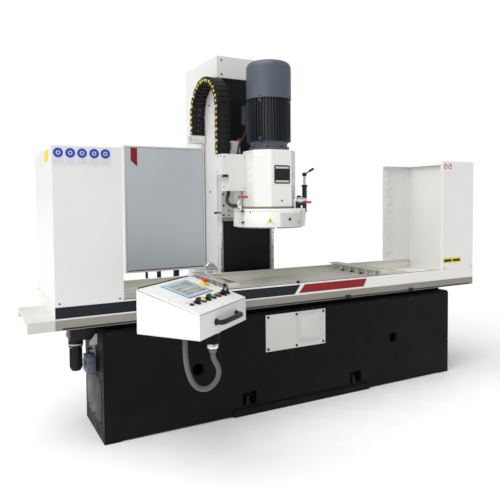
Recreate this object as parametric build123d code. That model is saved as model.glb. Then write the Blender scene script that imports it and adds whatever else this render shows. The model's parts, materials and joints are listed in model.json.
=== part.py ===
"""Moving-table surface grinder for cylinder heads and blocks, with a vertical wheel head.

Millimetres. X runs along the bed to the right, Y to the rear and Z up.
The origin is on the floor, at the centre of the bed's footprint.
"""

from math import atan2, cos, degrees, hypot, radians, sin, tan
import os

from build123d import *

# ---- driving dimensions ----------------------------------------------------------------------
BED_LENGTH = 2822
BED_DEPTH = 510
BED_HEIGHT = 673
BED_CHAMFER = 14
PAD_LIFT = 7
MID_PAD_HALF = 570
END_PAD = 105
POCKET_X = 448
POCKET_SIZE = (104, 60, 88)
POCKET_FLOOR = 63
ANCHOR_Y = 225
ANCHOR_R = 11
LIFT_HOLE_X = 814
LIFT_HOLE_Z = 358
LIFT_HOLE_R = 40
WAY_TOP = 709.7
WAY_HALF = 190
RAIL_Y = 130
RAIL_WIDTH = 40
RAIL_TOP = 730
PLINTH_TOP = 700

TABLE_LEFT = -1675
TABLE_RIGHT = 1678
TABLE_FRONT = -275
TABLE_REAR = 245
TABLE_BOTTOM = 710
TABLE_TOP = 771
TABLE_OVERHANG = 143
APRON_TOP = 847
TRAY_REAR = 452
TRAY_REAR_TOP = 860
SHEET = 3
LEFT_TOWER_RIGHT = -1286
LEFT_TOWER_TOP = 1742
LEFT_TOWER_REAR_RIGHT = -1451
RIGHT_TOWER_LEFT = 1324
RIGHT_TOWER_REAR_LEFT = 1338
RIGHT_TOWER_TOP = 1730

SCREW_Z = 640
TABLE_SCREW_R = 25
LIFT_SCREW_R = 20
LIFT_SCREW_Y = 645
RUNNING = 0.05
GAP = 0.3

AXIS_X = -54
AXIS_Y = 145
COLUMN_HALF = 262
COLUMN_FRONT = 525
COLUMN_REAR = 1165
COLUMN_TOP = 2566
COLUMN_CAP_BOTTOM = 2398
COLUMN_WALL = 25
COLUMN_SLOT_HALF = 30
COLUMN_RAIL_IN = 226
COLUMN_RAIL_OUT = 245
COLUMN_RAIL_FRONT = 505

SADDLE_BOTTOM = 1268
SADDLE_TOP = 1770
GUARD_R = 272
GUARD_BOTTOM = 1236
GUARD_TOP = 1367
HOUSING_BOTTOM = 1381
HOUSING_TOP = 1796
HOUSING_HALF = 180
HOUSING_CHAMFER = 95
FLANGE_TOP = 1852
FINS_TOP = 2176
COWL_TOP = 2452
MOTOR_R = 165
SHAFT_R = 50
WHEEL_R = 248
SEGMENT_BOTTOM = 1226
SEGMENT_TOP = 1270
PLATE_TOP = 1306

CABINET_LEFT = -1000
CABINET_RIGHT = -326
CABINET_FRONT = 745
CABINET_REAR = 1045
CABINET_BOTTOM = 868
CABINET_TOP = 1862
CABINET_EDGE = 12
DOOR_CLEAR = 8

PANEL_CORNER = (-1110, -1005, 748)
PANEL_TURN = 37.2
PANEL_WIDTH = 516
PANEL_DEPTH = 375
PANEL_FRONT_HEIGHT = 132
PANEL_REAR_HEIGHT = 238
LID_THICK = 8
PANEL_PIVOT = (-979, -855)
ARM_PIVOT = (-851, -335)
ARM_BOTTOM = 690
ARM_TOP = 735
STEM_R = 10

HOSES = {"cabinet_hose_a": (-785, 11), "cabinet_hose_b": (-680, 18), "cabinet_hose_c": (-528, 25)}
PANEL_CONDUIT_R = 14
MOTOR_CONDUIT_R = 9

LID_SLOPE = degrees(atan2(PANEL_REAR_HEIGHT - PANEL_FRONT_HEIGHT, PANEL_DEPTH))


# ---- helpers -----------------------------------------------------------------------------------
def block(x0, x1, y0, y1, z0, z1):
    """A box between two corners."""
    size = (x1 - x0, y1 - y0, z1 - z0)
    return Pos((x0 + x1) / 2, (y0 + y1) / 2, (z0 + z1) / 2) * Box(*size)


def post(x, y, radius, z0, z1):
    """A vertical cylinder."""
    return Pos(x, y, (z0 + z1) / 2) * Cylinder(radius, z1 - z0)


def bar_x(y, z, radius, x0, x1):
    """A cylinder along X."""
    return Pos((x0 + x1) / 2, y, z) * Rot(0, 90, 0) * Cylinder(radius, x1 - x0)


def bar_y(x, z, radius, y0, y1):
    """A cylinder along Y."""
    return Pos(x, (y0 + y1) / 2, z) * Rot(90, 0, 0) * Cylinder(radius, y1 - y0)


def joined(parts):
    """One shape from touching shapes."""
    whole = parts[0]
    for part in parts[1:]:
        whole = whole + part
    return whole


def group(parts):
    """Separate solids that share a node."""
    return Compound(children=[solid for part in parts for solid in part.solids()])


def tube_radii(points):
    """The arc at each corner: 0.45 of the shorter run over the tangent of half the turn."""
    radii = []
    for before, here, after in zip(points, points[1:], points[2:]):
        run_in = Vector(*here) - Vector(*before)
        run_out = Vector(*after) - Vector(*here)
        half_turn = radians(run_in.get_angle(run_out)) / 2
        radii.append(0.45 * min(run_in.length, run_out.length) / tan(half_turn))
    return radii


def cord_tube(name, points, radius):
    """A cord as straight runs joined by tangent arcs."""
    radii = tube_radii(points)
    path = FilletPolyline(*points, radius=radii)
    start = Plane(origin=path @ 0, z_dir=path % 0)
    tube = sweep(start * Circle(radius), path=path)
    print(name, "radii", [round(r) for r in radii], "length", round(path.length))
    print(name, "volume share", round(tube.volume / (3.14159265 * radius**2 * path.length), 4))
    return tube


# ---- bed ---------------------------------------------------------------------------------------
def bed_casting():
    half = BED_LENGTH / 2
    deep = BED_DEPTH / 2
    body = block(-half, half, -deep, deep, PAD_LIFT, BED_HEIGHT)
    body = chamfer(body.edges().filter_by(Axis.X).group_by(Axis.Z)[-1], BED_CHAMFER)
    pads = [
        block(-half, -half + END_PAD, -deep, deep, 0, PAD_LIFT),
        block(half - END_PAD, half, -deep, deep, 0, PAD_LIFT),
        block(-MID_PAD_HALF, MID_PAD_HALF, -deep, deep, 0, PAD_LIFT),
        block(-MID_PAD_HALF, MID_PAD_HALF, -deep - 14, -deep, 0, 46),
    ]
    ways = block(-half + 40, half - 40, -WAY_HALF, WAY_HALF, BED_HEIGHT, WAY_TOP)
    rails = [
        block(-half + 40, half - 40, y - RAIL_WIDTH / 2, y + RAIL_WIDTH / 2, WAY_TOP, RAIL_TOP)
        for y in (-RAIL_Y, RAIL_Y)
    ]
    body = joined([body, *pads, ways, *rails])
    for x0, x1 in ((-1371, -720), (-680, -20), (20, 680), (720, 1371)):
        body = body - block(x0, x1, -215, 215, -1, 520)
    for x in (-POCKET_X, POCKET_X):
        for side in (-1, 1):
            ys = sorted((side * 165, side * deep))
            body = body + block(x - 80, x + 80, ys[0], ys[1], 0, 200)
            width, depth, height = POCKET_SIZE
            ys = sorted((side * (deep - depth), side * (deep + 20)))
            top = POCKET_FLOOR + height
            body = body - block(x - width / 2, x + width / 2, ys[0], ys[1], POCKET_FLOOR, top)
            body = body - post(x, side * ANCHOR_Y, ANCHOR_R, -1, POCKET_FLOOR + 1)
    for x in (-LIFT_HOLE_X, LIFT_HOLE_X):
        body = body - bar_y(x, LIFT_HOLE_Z, LIFT_HOLE_R, -deep - 1, deep + 1)
    body = body - block(-1330, 1330, -60, 60, 560, WAY_TOP + 1)
    body = body - bar_x(0, SCREW_Z, TABLE_SCREW_R + RUNNING, -half - 1, half + 1)
    for x, z in COVER_SCREWS:
        body = body - bar_y(x, z, 4.2, -deep - 1, -deep + 30)
    return body + column_plinth()


def column_plinth():
    """The rear leg of the bed, which carries the column."""
    deep = BED_DEPTH / 2
    left = AXIS_X - 280
    right = AXIS_X + 280
    body = block(left, right, deep, 1180, 0, PLINTH_TOP)
    body = body + block(AXIS_X - 340, AXIS_X + 340, deep + 45, 1225, 0, 45)
    body = body - block(left + 40, right - 40, deep + 35, 1140, -1, 640)
    for x in (AXIS_X - 312, AXIS_X + 312):
        for y in (345, 1180):
            body = body - post(x, y, ANCHOR_R, -1, 46)
    return body


COVER_SCREWS = [(x, z) for z in (417, 635) for x in (-303, -76, 150)]


def bed_cover_plate():
    front = -BED_DEPTH / 2
    plate = block(-321, 168, front - 6, front, 401, 651)
    plate = plate + block(-64, 120, front - 20, front - 6, 452, 632)
    for x, z in COVER_SCREWS:
        plate = plate - bar_y(x, z, 4.2, front - 7, front + 1)
    return plate


def cover_screws():
    front = -BED_DEPTH / 2
    screws = []
    for x, z in COVER_SCREWS:
        head = bar_y(x, z, 8, front - 11, front - 6)
        shank = bar_y(x, z, 4, front - 6, front + 25)
        screws.append(head + shank)
    return group(screws)


def table_gearbox():
    left = -BED_LENGTH / 2
    box = block(left - 150, left, -70, 70, 592, 702)
    return box - bar_x(0, SCREW_Z, TABLE_SCREW_R + RUNNING, left - 60, left + 1)


def table_motor():
    x = -BED_LENGTH / 2 - 107
    body = post(x, 0, 36, 410, 592)
    collar = post(x, 0, 44, 545, 592)
    return body + post(x, 0, 30, 396, 410) + collar


def lube_unit():
    left = -BED_LENGTH / 2
    box = block(left - 62, left - 6, -95, 35, 385, 487)
    return box + block(left - 6, left, -80, 20, 400, 560)


def table_screw():
    half = BED_LENGTH / 2
    return bar_x(0, SCREW_Z, TABLE_SCREW_R, -half - 59, half)


# ---- table -------------------------------------------------------------------------------------
def table_slab():
    slab = block(TABLE_LEFT, TABLE_RIGHT, TABLE_FRONT, TABLE_REAR, TABLE_BOTTOM, TABLE_TOP)
    for y in (-RAIL_Y, RAIL_Y):
        low, high = y - RAIL_WIDTH / 2 - GAP, y + RAIL_WIDTH / 2 + GAP
        slab = slab - block(TABLE_LEFT - 1, TABLE_RIGHT + 1, low, high, 700, RAIL_TOP + GAP)
    left = TABLE_LEFT - TABLE_OVERHANG
    plate = block(left, TABLE_LEFT, TABLE_FRONT, TABLE_REAR, TABLE_TOP - SHEET, TABLE_TOP)
    front = block(left, TABLE_LEFT, TABLE_FRONT, TABLE_FRONT + SHEET, TABLE_BOTTOM, TABLE_TOP)
    rear = block(left, TABLE_LEFT, TABLE_REAR - SHEET, TABLE_REAR, TABLE_BOTTOM, TABLE_TOP)
    lip = block(left, left + SHEET, TABLE_FRONT, TABLE_REAR, TABLE_TOP - 25, TABLE_TOP)
    return joined([slab, plate, front, rear, lip])


def table_nut():
    nut = block(-80, 80, -45, 45, 598, TABLE_BOTTOM)
    return nut - bar_x(0, SCREW_Z, TABLE_SCREW_R + RUNNING, -81, 81)


def tray():
    left, right = TABLE_LEFT, TABLE_RIGHT
    floor_top = TABLE_TOP + SHEET
    parts = [
        block(left, right, TABLE_FRONT, TRAY_REAR, TABLE_TOP, floor_top),
        block(left, right, TABLE_FRONT, TABLE_FRONT + SHEET, TABLE_TOP, APRON_TOP),
        block(left, right, TABLE_FRONT, TABLE_FRONT + 36, APRON_TOP - SHEET, APRON_TOP),
        block(left, right, TRAY_REAR - SHEET, TRAY_REAR, TABLE_TOP, TRAY_REAR_TOP),
        block(left, right, TRAY_REAR - 24, TRAY_REAR, TRAY_REAR_TOP - SHEET, TRAY_REAR_TOP),
        block(left, left + SHEET, TABLE_FRONT, TRAY_REAR, TABLE_TOP, APRON_TOP),
        block(right - SHEET, right, TABLE_FRONT, TRAY_REAR, TABLE_TOP, APRON_TOP),
    ]
    return joined(parts)


T_SLOTS_Y = (25, 145, 265)


def work_table():
    bottom = TABLE_TOP + SHEET
    plate = block(-1230, 1250, -60, 350, bottom, 812)
    for y in T_SLOTS_Y:
        plate = plate - block(-1231, 1251, y - 9, y + 9, 798, 813)
        plate = plate - block(-1231, 1251, y - 16, y + 16, 785, 798)
    return plate


def tower(end, front_edge, rear_edge, top):
    """A splash guard: front, end and rear walls with turned-in edges, open towards the wheel."""
    inward = 1 if front_edge > end else -1
    inner_end = end + inward * SHEET
    base = APRON_TOP
    rear_base = TRAY_REAR_TOP
    front_x = sorted((end, front_edge))
    rear_x = sorted((end, rear_edge))
    end_x = sorted((end, inner_end))
    lip_x = sorted((front_edge, front_edge - inward * SHEET))
    front = TABLE_FRONT
    rear = TRAY_REAR
    parts = [
        block(*front_x, front, front + SHEET, base, top),
        block(*rear_x, rear - SHEET, rear, rear_base, top),
        block(*end_x, front, rear, rear_base, top),
        block(*end_x, front, rear - 30, base, rear_base),
        block(*lip_x, front, front + 28, base, top),
        block(*front_x, front, front + 30, top - SHEET, top),
        block(*rear_x, rear - 30, rear, top - SHEET, top),
        block(*sorted((end, end + inward * 30)), front, rear, top - SHEET, top),
    ]
    return joined(parts)


def left_tower():
    return tower(TABLE_LEFT + 3, LEFT_TOWER_RIGHT, LEFT_TOWER_REAR_RIGHT, LEFT_TOWER_TOP)


def right_tower():
    walls = tower(TABLE_RIGHT - 2, RIGHT_TOWER_LEFT, RIGHT_TOWER_REAR_LEFT, RIGHT_TOWER_TOP)
    strip = block(1358, 1450, TRAY_REAR - 11, TRAY_REAR - SHEET, 925, 1690)
    for step in range(11):
        z = 955 + step * 70
        slot = Pos(1404, TRAY_REAR - 7, z) * Rot(0, -32, 0) * Box(62, 12, 18)
        strip = strip - slot
    return walls + strip


def work_support(x):
    """A ribbed bar across the table that carries the workpiece."""
    front, rear = -234, 424
    parts = [
        block(x - 36, x + 36, front, rear, 873, 885),
        block(x - 8, x + 8, front + 20, rear, 826, 873),
        block(x - 36, x + 36, -55, 345, 812, 826),
    ]
    for y in (-150, -45, 60, 165, 270, 375):
        parts.append(block(x - 30, x + 30, y - 7, y + 7, 826, 873))
    parts.append(block(x - 36, x + 36, front, front + 20, 850, 873))
    return joined(parts)


# ---- column ------------------------------------------------------------------------------------
def column():
    left, right = AXIS_X - COLUMN_HALF, AXIS_X + COLUMN_HALF
    wall = COLUMN_WALL
    body = block(left, right, COLUMN_FRONT, COLUMN_REAR, PLINTH_TOP, COLUMN_TOP)
    body = body - block(
        left + wall, right - wall, COLUMN_FRONT + 40, COLUMN_REAR - wall, 740, COLUMN_TOP - wall
    )
    shelf = block(left + wall, right - wall, COLUMN_FRONT + 40, 760, 2380, 2400)
    body = body + shelf
    slot_x = (AXIS_X - COLUMN_SLOT_HALF, AXIS_X + COLUMN_SLOT_HALF)
    body = body - block(*slot_x, COLUMN_FRONT - 1, COLUMN_FRONT + 41, 800, 2330)
    for side in (-1, 1):
        xs = sorted((AXIS_X + side * COLUMN_RAIL_IN, AXIS_X + side * COLUMN_RAIL_OUT))
        rail = block(*xs, COLUMN_RAIL_FRONT, COLUMN_FRONT, 760, COLUMN_CAP_BOTTOM)
        body = body + rail
    body = body + block(left, right, 500, COLUMN_FRONT, COLUMN_CAP_BOTTOM, COLUMN_TOP)
    body = body - post(AXIS_X, LIFT_SCREW_Y, LIFT_SCREW_R + RUNNING, 708, 2401)
    return body


def column_way_cover():
    back = COLUMN_FRONT - 0.3
    panels = []
    for side in (-1, 1):
        xs = sorted((AXIS_X + side * 15, AXIS_X + side * 212))
        panels.append(block(*xs, back - 12, back, 780, COLUMN_CAP_BOTTOM - 2))
    return group(panels)


def lift_screw():
    return post(AXIS_X, LIFT_SCREW_Y, LIFT_SCREW_R, 710, 2430)


def lift_motor():
    body = post(AXIS_X, LIFT_SCREW_Y, 62, 2400, 2530)
    return body - post(AXIS_X, LIFT_SCREW_Y, LIFT_SCREW_R + RUNNING, 2399, 2440)


def lift_nut():
    y0, y1 = LIFT_SCREW_Y - 45, LIFT_SCREW_Y + 45
    nut = block(AXIS_X - 45, AXIS_X + 45, y0, y1, 1500, 1600)
    neck = block(AXIS_X - 12, AXIS_X + 12, 504.5, y0, 1500, 1600)
    return nut + neck - post(AXIS_X, LIFT_SCREW_Y, LIFT_SCREW_R + RUNNING, 1499, 1601)


def chain_bracket():
    left = AXIS_X - COLUMN_HALF
    box = block(left - 124, left, 725, 815, 1900, CHAIN_LOW_REAR)
    return box


CHAIN_X = (-430, -322)
CHAIN_LINK = 60
CHAIN_FRONT_Y = 245
CHAIN_REAR_Y = 795
CHAIN_LOW_FRONT = 1770
CHAIN_LOW_REAR = 1965
CHAIN_TOP = 2393


def cable_chain():
    """The whole chain as one bent strip, from the saddle up, over and down to the column."""
    outer = (CHAIN_REAR_Y - CHAIN_FRONT_Y) / 2
    middle = (CHAIN_REAR_Y + CHAIN_FRONT_Y) / 2
    centre_z = CHAIN_TOP - outer
    x0, x1 = CHAIN_X
    front = block(x0, x1, CHAIN_FRONT_Y, CHAIN_FRONT_Y + CHAIN_LINK, CHAIN_LOW_FRONT, centre_z)
    rear = block(x0, x1, CHAIN_REAR_Y - CHAIN_LINK, CHAIN_REAR_Y, CHAIN_LOW_REAR, centre_z)
    ring = bar_x(middle, centre_z, outer, x0, x1)
    ring = ring - bar_x(middle, centre_z, outer - CHAIN_LINK, x0 - 1, x1 + 1)
    ring = ring & block(x0, x1, CHAIN_FRONT_Y, CHAIN_REAR_Y, centre_z, CHAIN_TOP)
    return joined([front, ring, rear])


# ---- wheel head --------------------------------------------------------------------------------
def saddle():
    half = 257
    parts = [
        block(AXIS_X - half, AXIS_X + half, 450, 504.5, SADDLE_BOTTOM, SADDLE_TOP),
        block(AXIS_X - 150, AXIS_X + 150, AXIS_Y + HOUSING_HALF, 450, 1395, SADDLE_TOP),
    ]
    for side in (-1, 1):
        for z in (SADDLE_BOTTOM + 17, 1600):
            inner = sorted((AXIS_X + side * 214, AXIS_X + side * (COLUMN_RAIL_IN - GAP)))
            outer = sorted((AXIS_X + side * (COLUMN_RAIL_OUT + GAP), AXIS_X + side * half))
            parts.append(block(*inner, 504.5, 512, z, z + 150))
            parts.append(block(*outer, 504.5, 522, z, z + 150))
    return joined(parts)


def saddle_cover():
    right = AXIS_X - HOUSING_HALF
    upper = block(-430, right, 170, 310, 1619, SADDLE_TOP)
    lower = block(-380, right, 170, 310, 1500, 1619)
    hollow = block(-427, right - 3, 173, 311, 1622, 1767)
    hollow = hollow + block(-377, right - 3, 173, 311, 1503, 1623)
    return upper + lower - hollow


def housing_outline():
    far = HOUSING_HALF
    near = far - HOUSING_CHAMFER
    corners = [(near, -far), (far, -near), (far, near), (near, far)]
    corners += [(-x, -y) for x, y in corners]
    return Polyline(*corners, close=True)


def spindle_housing():
    section = make_face(housing_outline())
    body = extrude(section, HOUSING_TOP - HOUSING_BOTTOM)
    body = Pos(AXIS_X, AXIS_Y, HOUSING_BOTTOM) * body
    body = body - post(AXIS_X, AXIS_Y, 80, HOUSING_BOTTOM - 1, HOUSING_TOP + 1)
    for z0, z1 in ((HOUSING_BOTTOM - 1, 1485), (1700, HOUSING_TOP + 1)):
        body = body - post(AXIS_X, AXIS_Y, 90, z0, z1)
    return body


def spindle_bearings():
    rings = []
    for z in (1400, 1442, 1702, 1744):
        ring = post(AXIS_X, AXIS_Y, 90 - RUNNING, z, z + 40)
        rings.append(ring - post(AXIS_X, AXIS_Y, SHAFT_R + RUNNING, z - 1, z + 41))
    return group(rings)


def motor_frame():
    flange = post(AXIS_X, AXIS_Y, 150, HOUSING_TOP, HOUSING_TOP + 22)
    neck = post(AXIS_X, AXIS_Y, 138, HOUSING_TOP + 22, FLANGE_TOP)
    core = post(AXIS_X, AXIS_Y, 148, FLANGE_TOP, FINS_TOP)
    body = joined([flange, neck, core])
    for step in range(40):
        fin = Box(24, 4, FINS_TOP - FLANGE_TOP - 20)
        place = Pos(AXIS_X, AXIS_Y, (FLANGE_TOP + FINS_TOP) / 2) * Rot(0, 0, step * 9)
        body = body + place * Pos(MOTOR_R - 14, 0, 0) * fin
    return body - post(AXIS_X, AXIS_Y, 95, HOUSING_TOP - 1, FINS_TOP + 1)


def motor_cowl():
    radius = MOTOR_R + 3
    outer = post(AXIS_X, AXIS_Y, radius, FINS_TOP, COWL_TOP)
    outer = fillet(outer.edges().sort_by(Axis.Z)[-1], 45)
    inner = post(AXIS_X, AXIS_Y, radius - 4, FINS_TOP - 1, COWL_TOP - 4)
    inner = fillet(inner.edges().sort_by(Axis.Z)[-1], 41)
    inner = inner - block(-400, 300, -200, 400, FINS_TOP - 2, FINS_TOP)
    ring = post(AXIS_X, AXIS_Y, radius - 3.5, FINS_TOP, FINS_TOP + 8)
    ring = ring - post(AXIS_X, AXIS_Y, 145, FINS_TOP - 1, FINS_TOP + 9)
    return outer - inner + ring


TERMINAL_BOX = (-192, -100, 250, 330, 2008, 2150)


def terminal_box():
    box = block(*TERMINAL_BOX)
    keep_out = post(AXIS_X, AXIS_Y, MOTOR_R + 0.5, 1900, 2200)
    return box - keep_out


MOTOR_CONDUIT = [
    (-285, 205, 1770),
    (-285, 205, 1806),
    (-274, 211, 1841),
    (-251, 225, 1872),
    (-212, 248, 1906),
    (-189, 262, 1937),
    (-178, 268, 1972),
    (-178, 268, 2008),
]


def motor_conduit():
    return cord_tube("motor_conduit", MOTOR_CONDUIT, MOTOR_CONDUIT_R)


def wheel_guard():
    body = post(AXIS_X, AXIS_Y, GUARD_R, GUARD_BOTTOM, GUARD_TOP)
    body = fillet(body.edges().sort_by(Axis.Z)[-1], 8)
    body = body - post(AXIS_X, AXIS_Y, GUARD_R - 6, GUARD_BOTTOM - 1, GUARD_TOP - 10)
    body = body + post(AXIS_X, AXIS_Y, 160, GUARD_TOP, HOUSING_BOTTOM)
    return body - post(AXIS_X, AXIS_Y, 70, GUARD_TOP - 20, HOUSING_BOTTOM + 1)


def spindle_shaft():
    shaft = post(AXIS_X, AXIS_Y, SHAFT_R, PLATE_TOP + 14, 2250)
    nose = post(AXIS_X, AXIS_Y, 110, PLATE_TOP, PLATE_TOP + 24)
    rotor = post(AXIS_X, AXIS_Y, 90, 1880, 2160)
    fan = post(AXIS_X, AXIS_Y, 130, 2215, 2250)
    return joined([shaft, nose, rotor, fan])


def wheel_plate():
    plate = post(AXIS_X, AXIS_Y, WHEEL_R, SEGMENT_TOP, PLATE_TOP)
    return plate - post(AXIS_X, AXIS_Y, 60, SEGMENT_TOP - 1, PLATE_TOP + 1)


SEGMENT_COUNT = 10


def grinding_segments():
    ring = post(AXIS_X, AXIS_Y, WHEEL_R - 4, SEGMENT_BOTTOM, SEGMENT_TOP)
    ring = ring - post(AXIS_X, AXIS_Y, WHEEL_R - 54, SEGMENT_BOTTOM - 1, SEGMENT_TOP + 1)
    for step in range(SEGMENT_COUNT):
        cut = Pos(AXIS_X, AXIS_Y, SEGMENT_TOP) * Rot(0, 0, step * 360 / SEGMENT_COUNT)
        ring = ring - cut * Pos(WHEEL_R - 30, 0, 0) * Box(80, 22, 100)
    return group([ring])


LEFT_VALVE = (-345, 70)
RIGHT_VALVE = (150, -12)


def left_valve():
    """Coolant cock beside the guard, fed from above, with its nozzle pipe down the guard."""
    x, y = LEFT_VALVE
    parts = [
        post(x, y, 17, 1360, 1425),
        post(x, y, 9, 1250, 1360),
        post(x, y, 12, 1425, 1448),
    ]
    to_axis = degrees(atan2(AXIS_Y - y, AXIS_X - x))
    reach = hypot(AXIS_X - x, AXIS_Y - y) - GUARD_R + 2
    stub = Pos(x, y, 1262) * Rot(0, 0, to_axis) * Pos(reach / 2, 0, 0)
    parts.append(stub * Rot(0, 90, 0) * Cylinder(9, reach))
    body = joined(parts)
    body = body - post(AXIS_X, AXIS_Y, GUARD_R, 1200, GUARD_TOP)
    feed = joined([bar_x(y, 1392, 14, x - 62, x), post(x - 62, y, 14, 1378, 1470)])
    rear = bar_y(x - 62, 1470, 14, y, 240)
    up = post(x - 10, 240, 14, 1456, 1500)
    across = bar_x(240, 1470, 14, x - 62, x - 10)
    return joined([body, feed, rear, across, up])


def valve_lever(x, y, z, turn, reach):
    hub = post(x, y, 11, z, z + 12)
    arm = block(0, reach, -7, 7, 0, 6)
    return hub + Pos(x, y, z + 6) * Rot(0, 0, turn) * arm


def left_valve_lever():
    x, y = LEFT_VALVE
    return valve_lever(x, y, 1448.3, -20, 62)


def right_valve():
    """Coolant cock on the right of the head, a chrome body with its pipe down to the guard."""
    x, y = RIGHT_VALVE
    parts = [
        bar_x(y, 1432, 15, 52, x + 14),
        post(x, y, 13, 1419, 1449),
        post(70, y, 12, GUARD_TOP, 1432),
    ]
    lug = block(52, 62, y - 14, 40, 1418, 1446)
    face = Plane(origin=(126, 60, 1400), z_dir=(1, -1, 0))
    cut = extrude(face * Rectangle(900, 900), -900)
    return joined([*parts, lug]) - cut


def right_valve_lever():
    x, y = RIGHT_VALVE
    lever = valve_lever(x, y, 1405, -8, 66)
    return lever


DRESSER = (232, 95)


def dresser_body():
    x, y = DRESSER
    body = post(x, y, 18, 1425, 1531)
    flange = post(x, y, 23, 1531, 1545)
    foot = block(x - 90, x + 14, y - 16, y + 16, 1385, 1425)
    leg = block(x - 90, x - 40, y - 16, y + 16, GUARD_TOP, 1385)
    whole = joined([body, flange, foot, leg])
    return whole - post(x, y, 9 + RUNNING, 1380, 1550)


def dresser_rod():
    """The plunger with its knob and lever on top and the diamond at its foot."""
    x, y = DRESSER
    rod = post(x, y, 9, 1313, 1640)
    tip = post(x, y, 4, 1301, 1313)
    knob = post(x, y, 14, 1612, 1640)
    lever = Pos(x, y, 1632) * Rot(0, -25, 0) * Pos(48, 0, 0) * Rot(0, 90, 0) * Cylinder(7, 90)
    return joined([rod, tip, knob, lever])


# ---- electrical cabinet ------------------------------------------------------------------------
def cabinet_body():
    body = block(
        CABINET_LEFT, CABINET_RIGHT, CABINET_FRONT, CABINET_REAR, CABINET_BOTTOM, CABINET_TOP
    )
    edge = CABINET_EDGE
    inside = block(
        CABINET_LEFT + edge,
        CABINET_RIGHT - edge,
        CABINET_FRONT - 1,
        CABINET_REAR - 4,
        CABINET_BOTTOM + edge,
        CABINET_TOP - edge,
    )
    body = body - inside
    spacers = [
        block(CABINET_RIGHT, AXIS_X - COLUMN_HALF, 800, 1000, z, z + 60) for z in (920, 1740)
    ]
    body = joined([body, *spacers])
    for x, radius in HOSES.values():
        body = body + post(x, 900, radius + 8, CABINET_BOTTOM - 18, CABINET_BOTTOM)
        body = body - post(x, 900, radius - 3, CABINET_BOTTOM - 19, CABINET_BOTTOM + edge + 1)
    switch = bar_x(900, 1400, 6 + RUNNING, CABINET_LEFT - 1, CABINET_LEFT + edge + 1)
    return body - switch


DOOR_X = (CABINET_LEFT + CABINET_EDGE + 3, CABINET_RIGHT - CABINET_EDGE - 3)


def cabinet_door():
    low = CABINET_BOTTOM + CABINET_EDGE + DOOR_CLEAR
    high = CABINET_TOP - CABINET_EDGE - 3
    skin = block(*DOOR_X, CABINET_FRONT, CABINET_FRONT + 22, low, high)
    hollow = block(
        DOOR_X[0] + 2, DOOR_X[1] - 2, CABINET_FRONT + 2, CABINET_FRONT + 23, low + 2, high - 2
    )
    return skin - hollow


def main_switch():
    knob = bar_x(900, 1400, 26, CABINET_LEFT - 16, CABINET_LEFT - GAP)
    grip = block(CABINET_LEFT - 34, CABINET_LEFT - 16, 892, 908, 1374, 1426)
    stem = bar_x(900, 1400, 6, CABINET_LEFT - GAP, CABINET_LEFT + 24)
    return joined([knob, grip, stem])


def hose_route(x, lean):
    """Down from the cabinet, then forward in a long bend to the bed's rear wall."""
    return [
        (x, 900, CABINET_BOTTOM - 18),
        (x, 900, 750),
        (x + lean, 888, 640),
        (x + 2 * lean, 840, 530),
        (x + 2 * lean, 745, 445),
        (x + lean, 600, 408),
        (x, 430, 400),
        (x, BED_DEPTH / 2, 400),
    ]


HOSE_LEAN = {"cabinet_hose_a": 10, "cabinet_hose_b": -8, "cabinet_hose_c": -10}


def cabinet_hose(name):
    x, radius = HOSES[name]
    return cord_tube(name, hose_route(x, HOSE_LEAN[name]), radius)


# ---- control panel -----------------------------------------------------------------------------
def panel_place(shape):
    """From the panel's own corner frame to the machine's frame."""
    return Pos(*PANEL_CORNER) * Rot(0, 0, PANEL_TURN) * shape


def lid_place(u, v, shape):
    """Stands a piece on the sloping lid, at u along the front edge and v up the slope."""
    rise = PANEL_FRONT_HEIGHT + v * tan(radians(LID_SLOPE))
    return panel_place(Pos(u, v, rise) * Rot(LID_SLOPE, 0, 0) * shape)


def side_profile(offset, rear):
    """The panel's side outline, its slope lowered by offset, as far back as rear."""
    slope = tan(radians(LID_SLOPE))
    low = PANEL_FRONT_HEIGHT - offset
    points = [(0, 0), (rear, 0), (rear, low + rear * slope), (0, low)]
    return make_face(Polyline(*points, close=True))


def prism(profile, width):
    """Stretches a side outline, drawn in Y and Z, along X."""
    return extrude(Plane.YZ * profile, width)


def panel_box():
    offset = LID_THICK / cos(radians(LID_SLOPE)) + GAP
    walls = prism(side_profile(offset, PANEL_DEPTH), PANEL_WIDTH)
    inner = prism(side_profile(offset - 20, PANEL_DEPTH - 12), PANEL_WIDTH - 6)
    walls = walls - Pos(3, 3, 3) * inner
    ledge_top = PANEL_REAR_HEIGHT
    walls = walls + block(0, PANEL_WIDTH, PANEL_DEPTH - 8, PANEL_DEPTH, 200, ledge_top)
    body = panel_place(walls)
    x, y = PANEL_PIVOT
    bottom = PANEL_CORNER[2]
    parts = [
        body,
        post(x, y, 45, ARM_TOP + 10, bottom),
        post(x, y, 22, 665, bottom),
        post(x, y, 30, 662, ARM_BOTTOM - GAP),
        post(x, y, 20, 645, 662),
    ]
    start = PANEL_CONDUIT[-1]
    parts.append(post(start[0], start[1], 22, bottom - 20, bottom))
    return joined(parts)


def panel_handle():
    bar = block(150, 400, -52, -28, 50, 74)
    bar = fillet(bar.edges(), 8)
    feet = [block(u, u + 30, -40, 0, 50, 74) for u in (150, 370)]
    return panel_place(joined([bar, *feet]))


CONTROLS = {
    "mode_selector": (130, 92),
    "reset_button": (190, 92),
    "feed_selector": (240, 92),
    "start_button": (300, 94),
    "stop_button": (355, 94),
    "jog_stick": (412, 94),
}
ESTOP_SPOT = (456, 236)
SCREEN = (156, 402, 156, 325)


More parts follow.
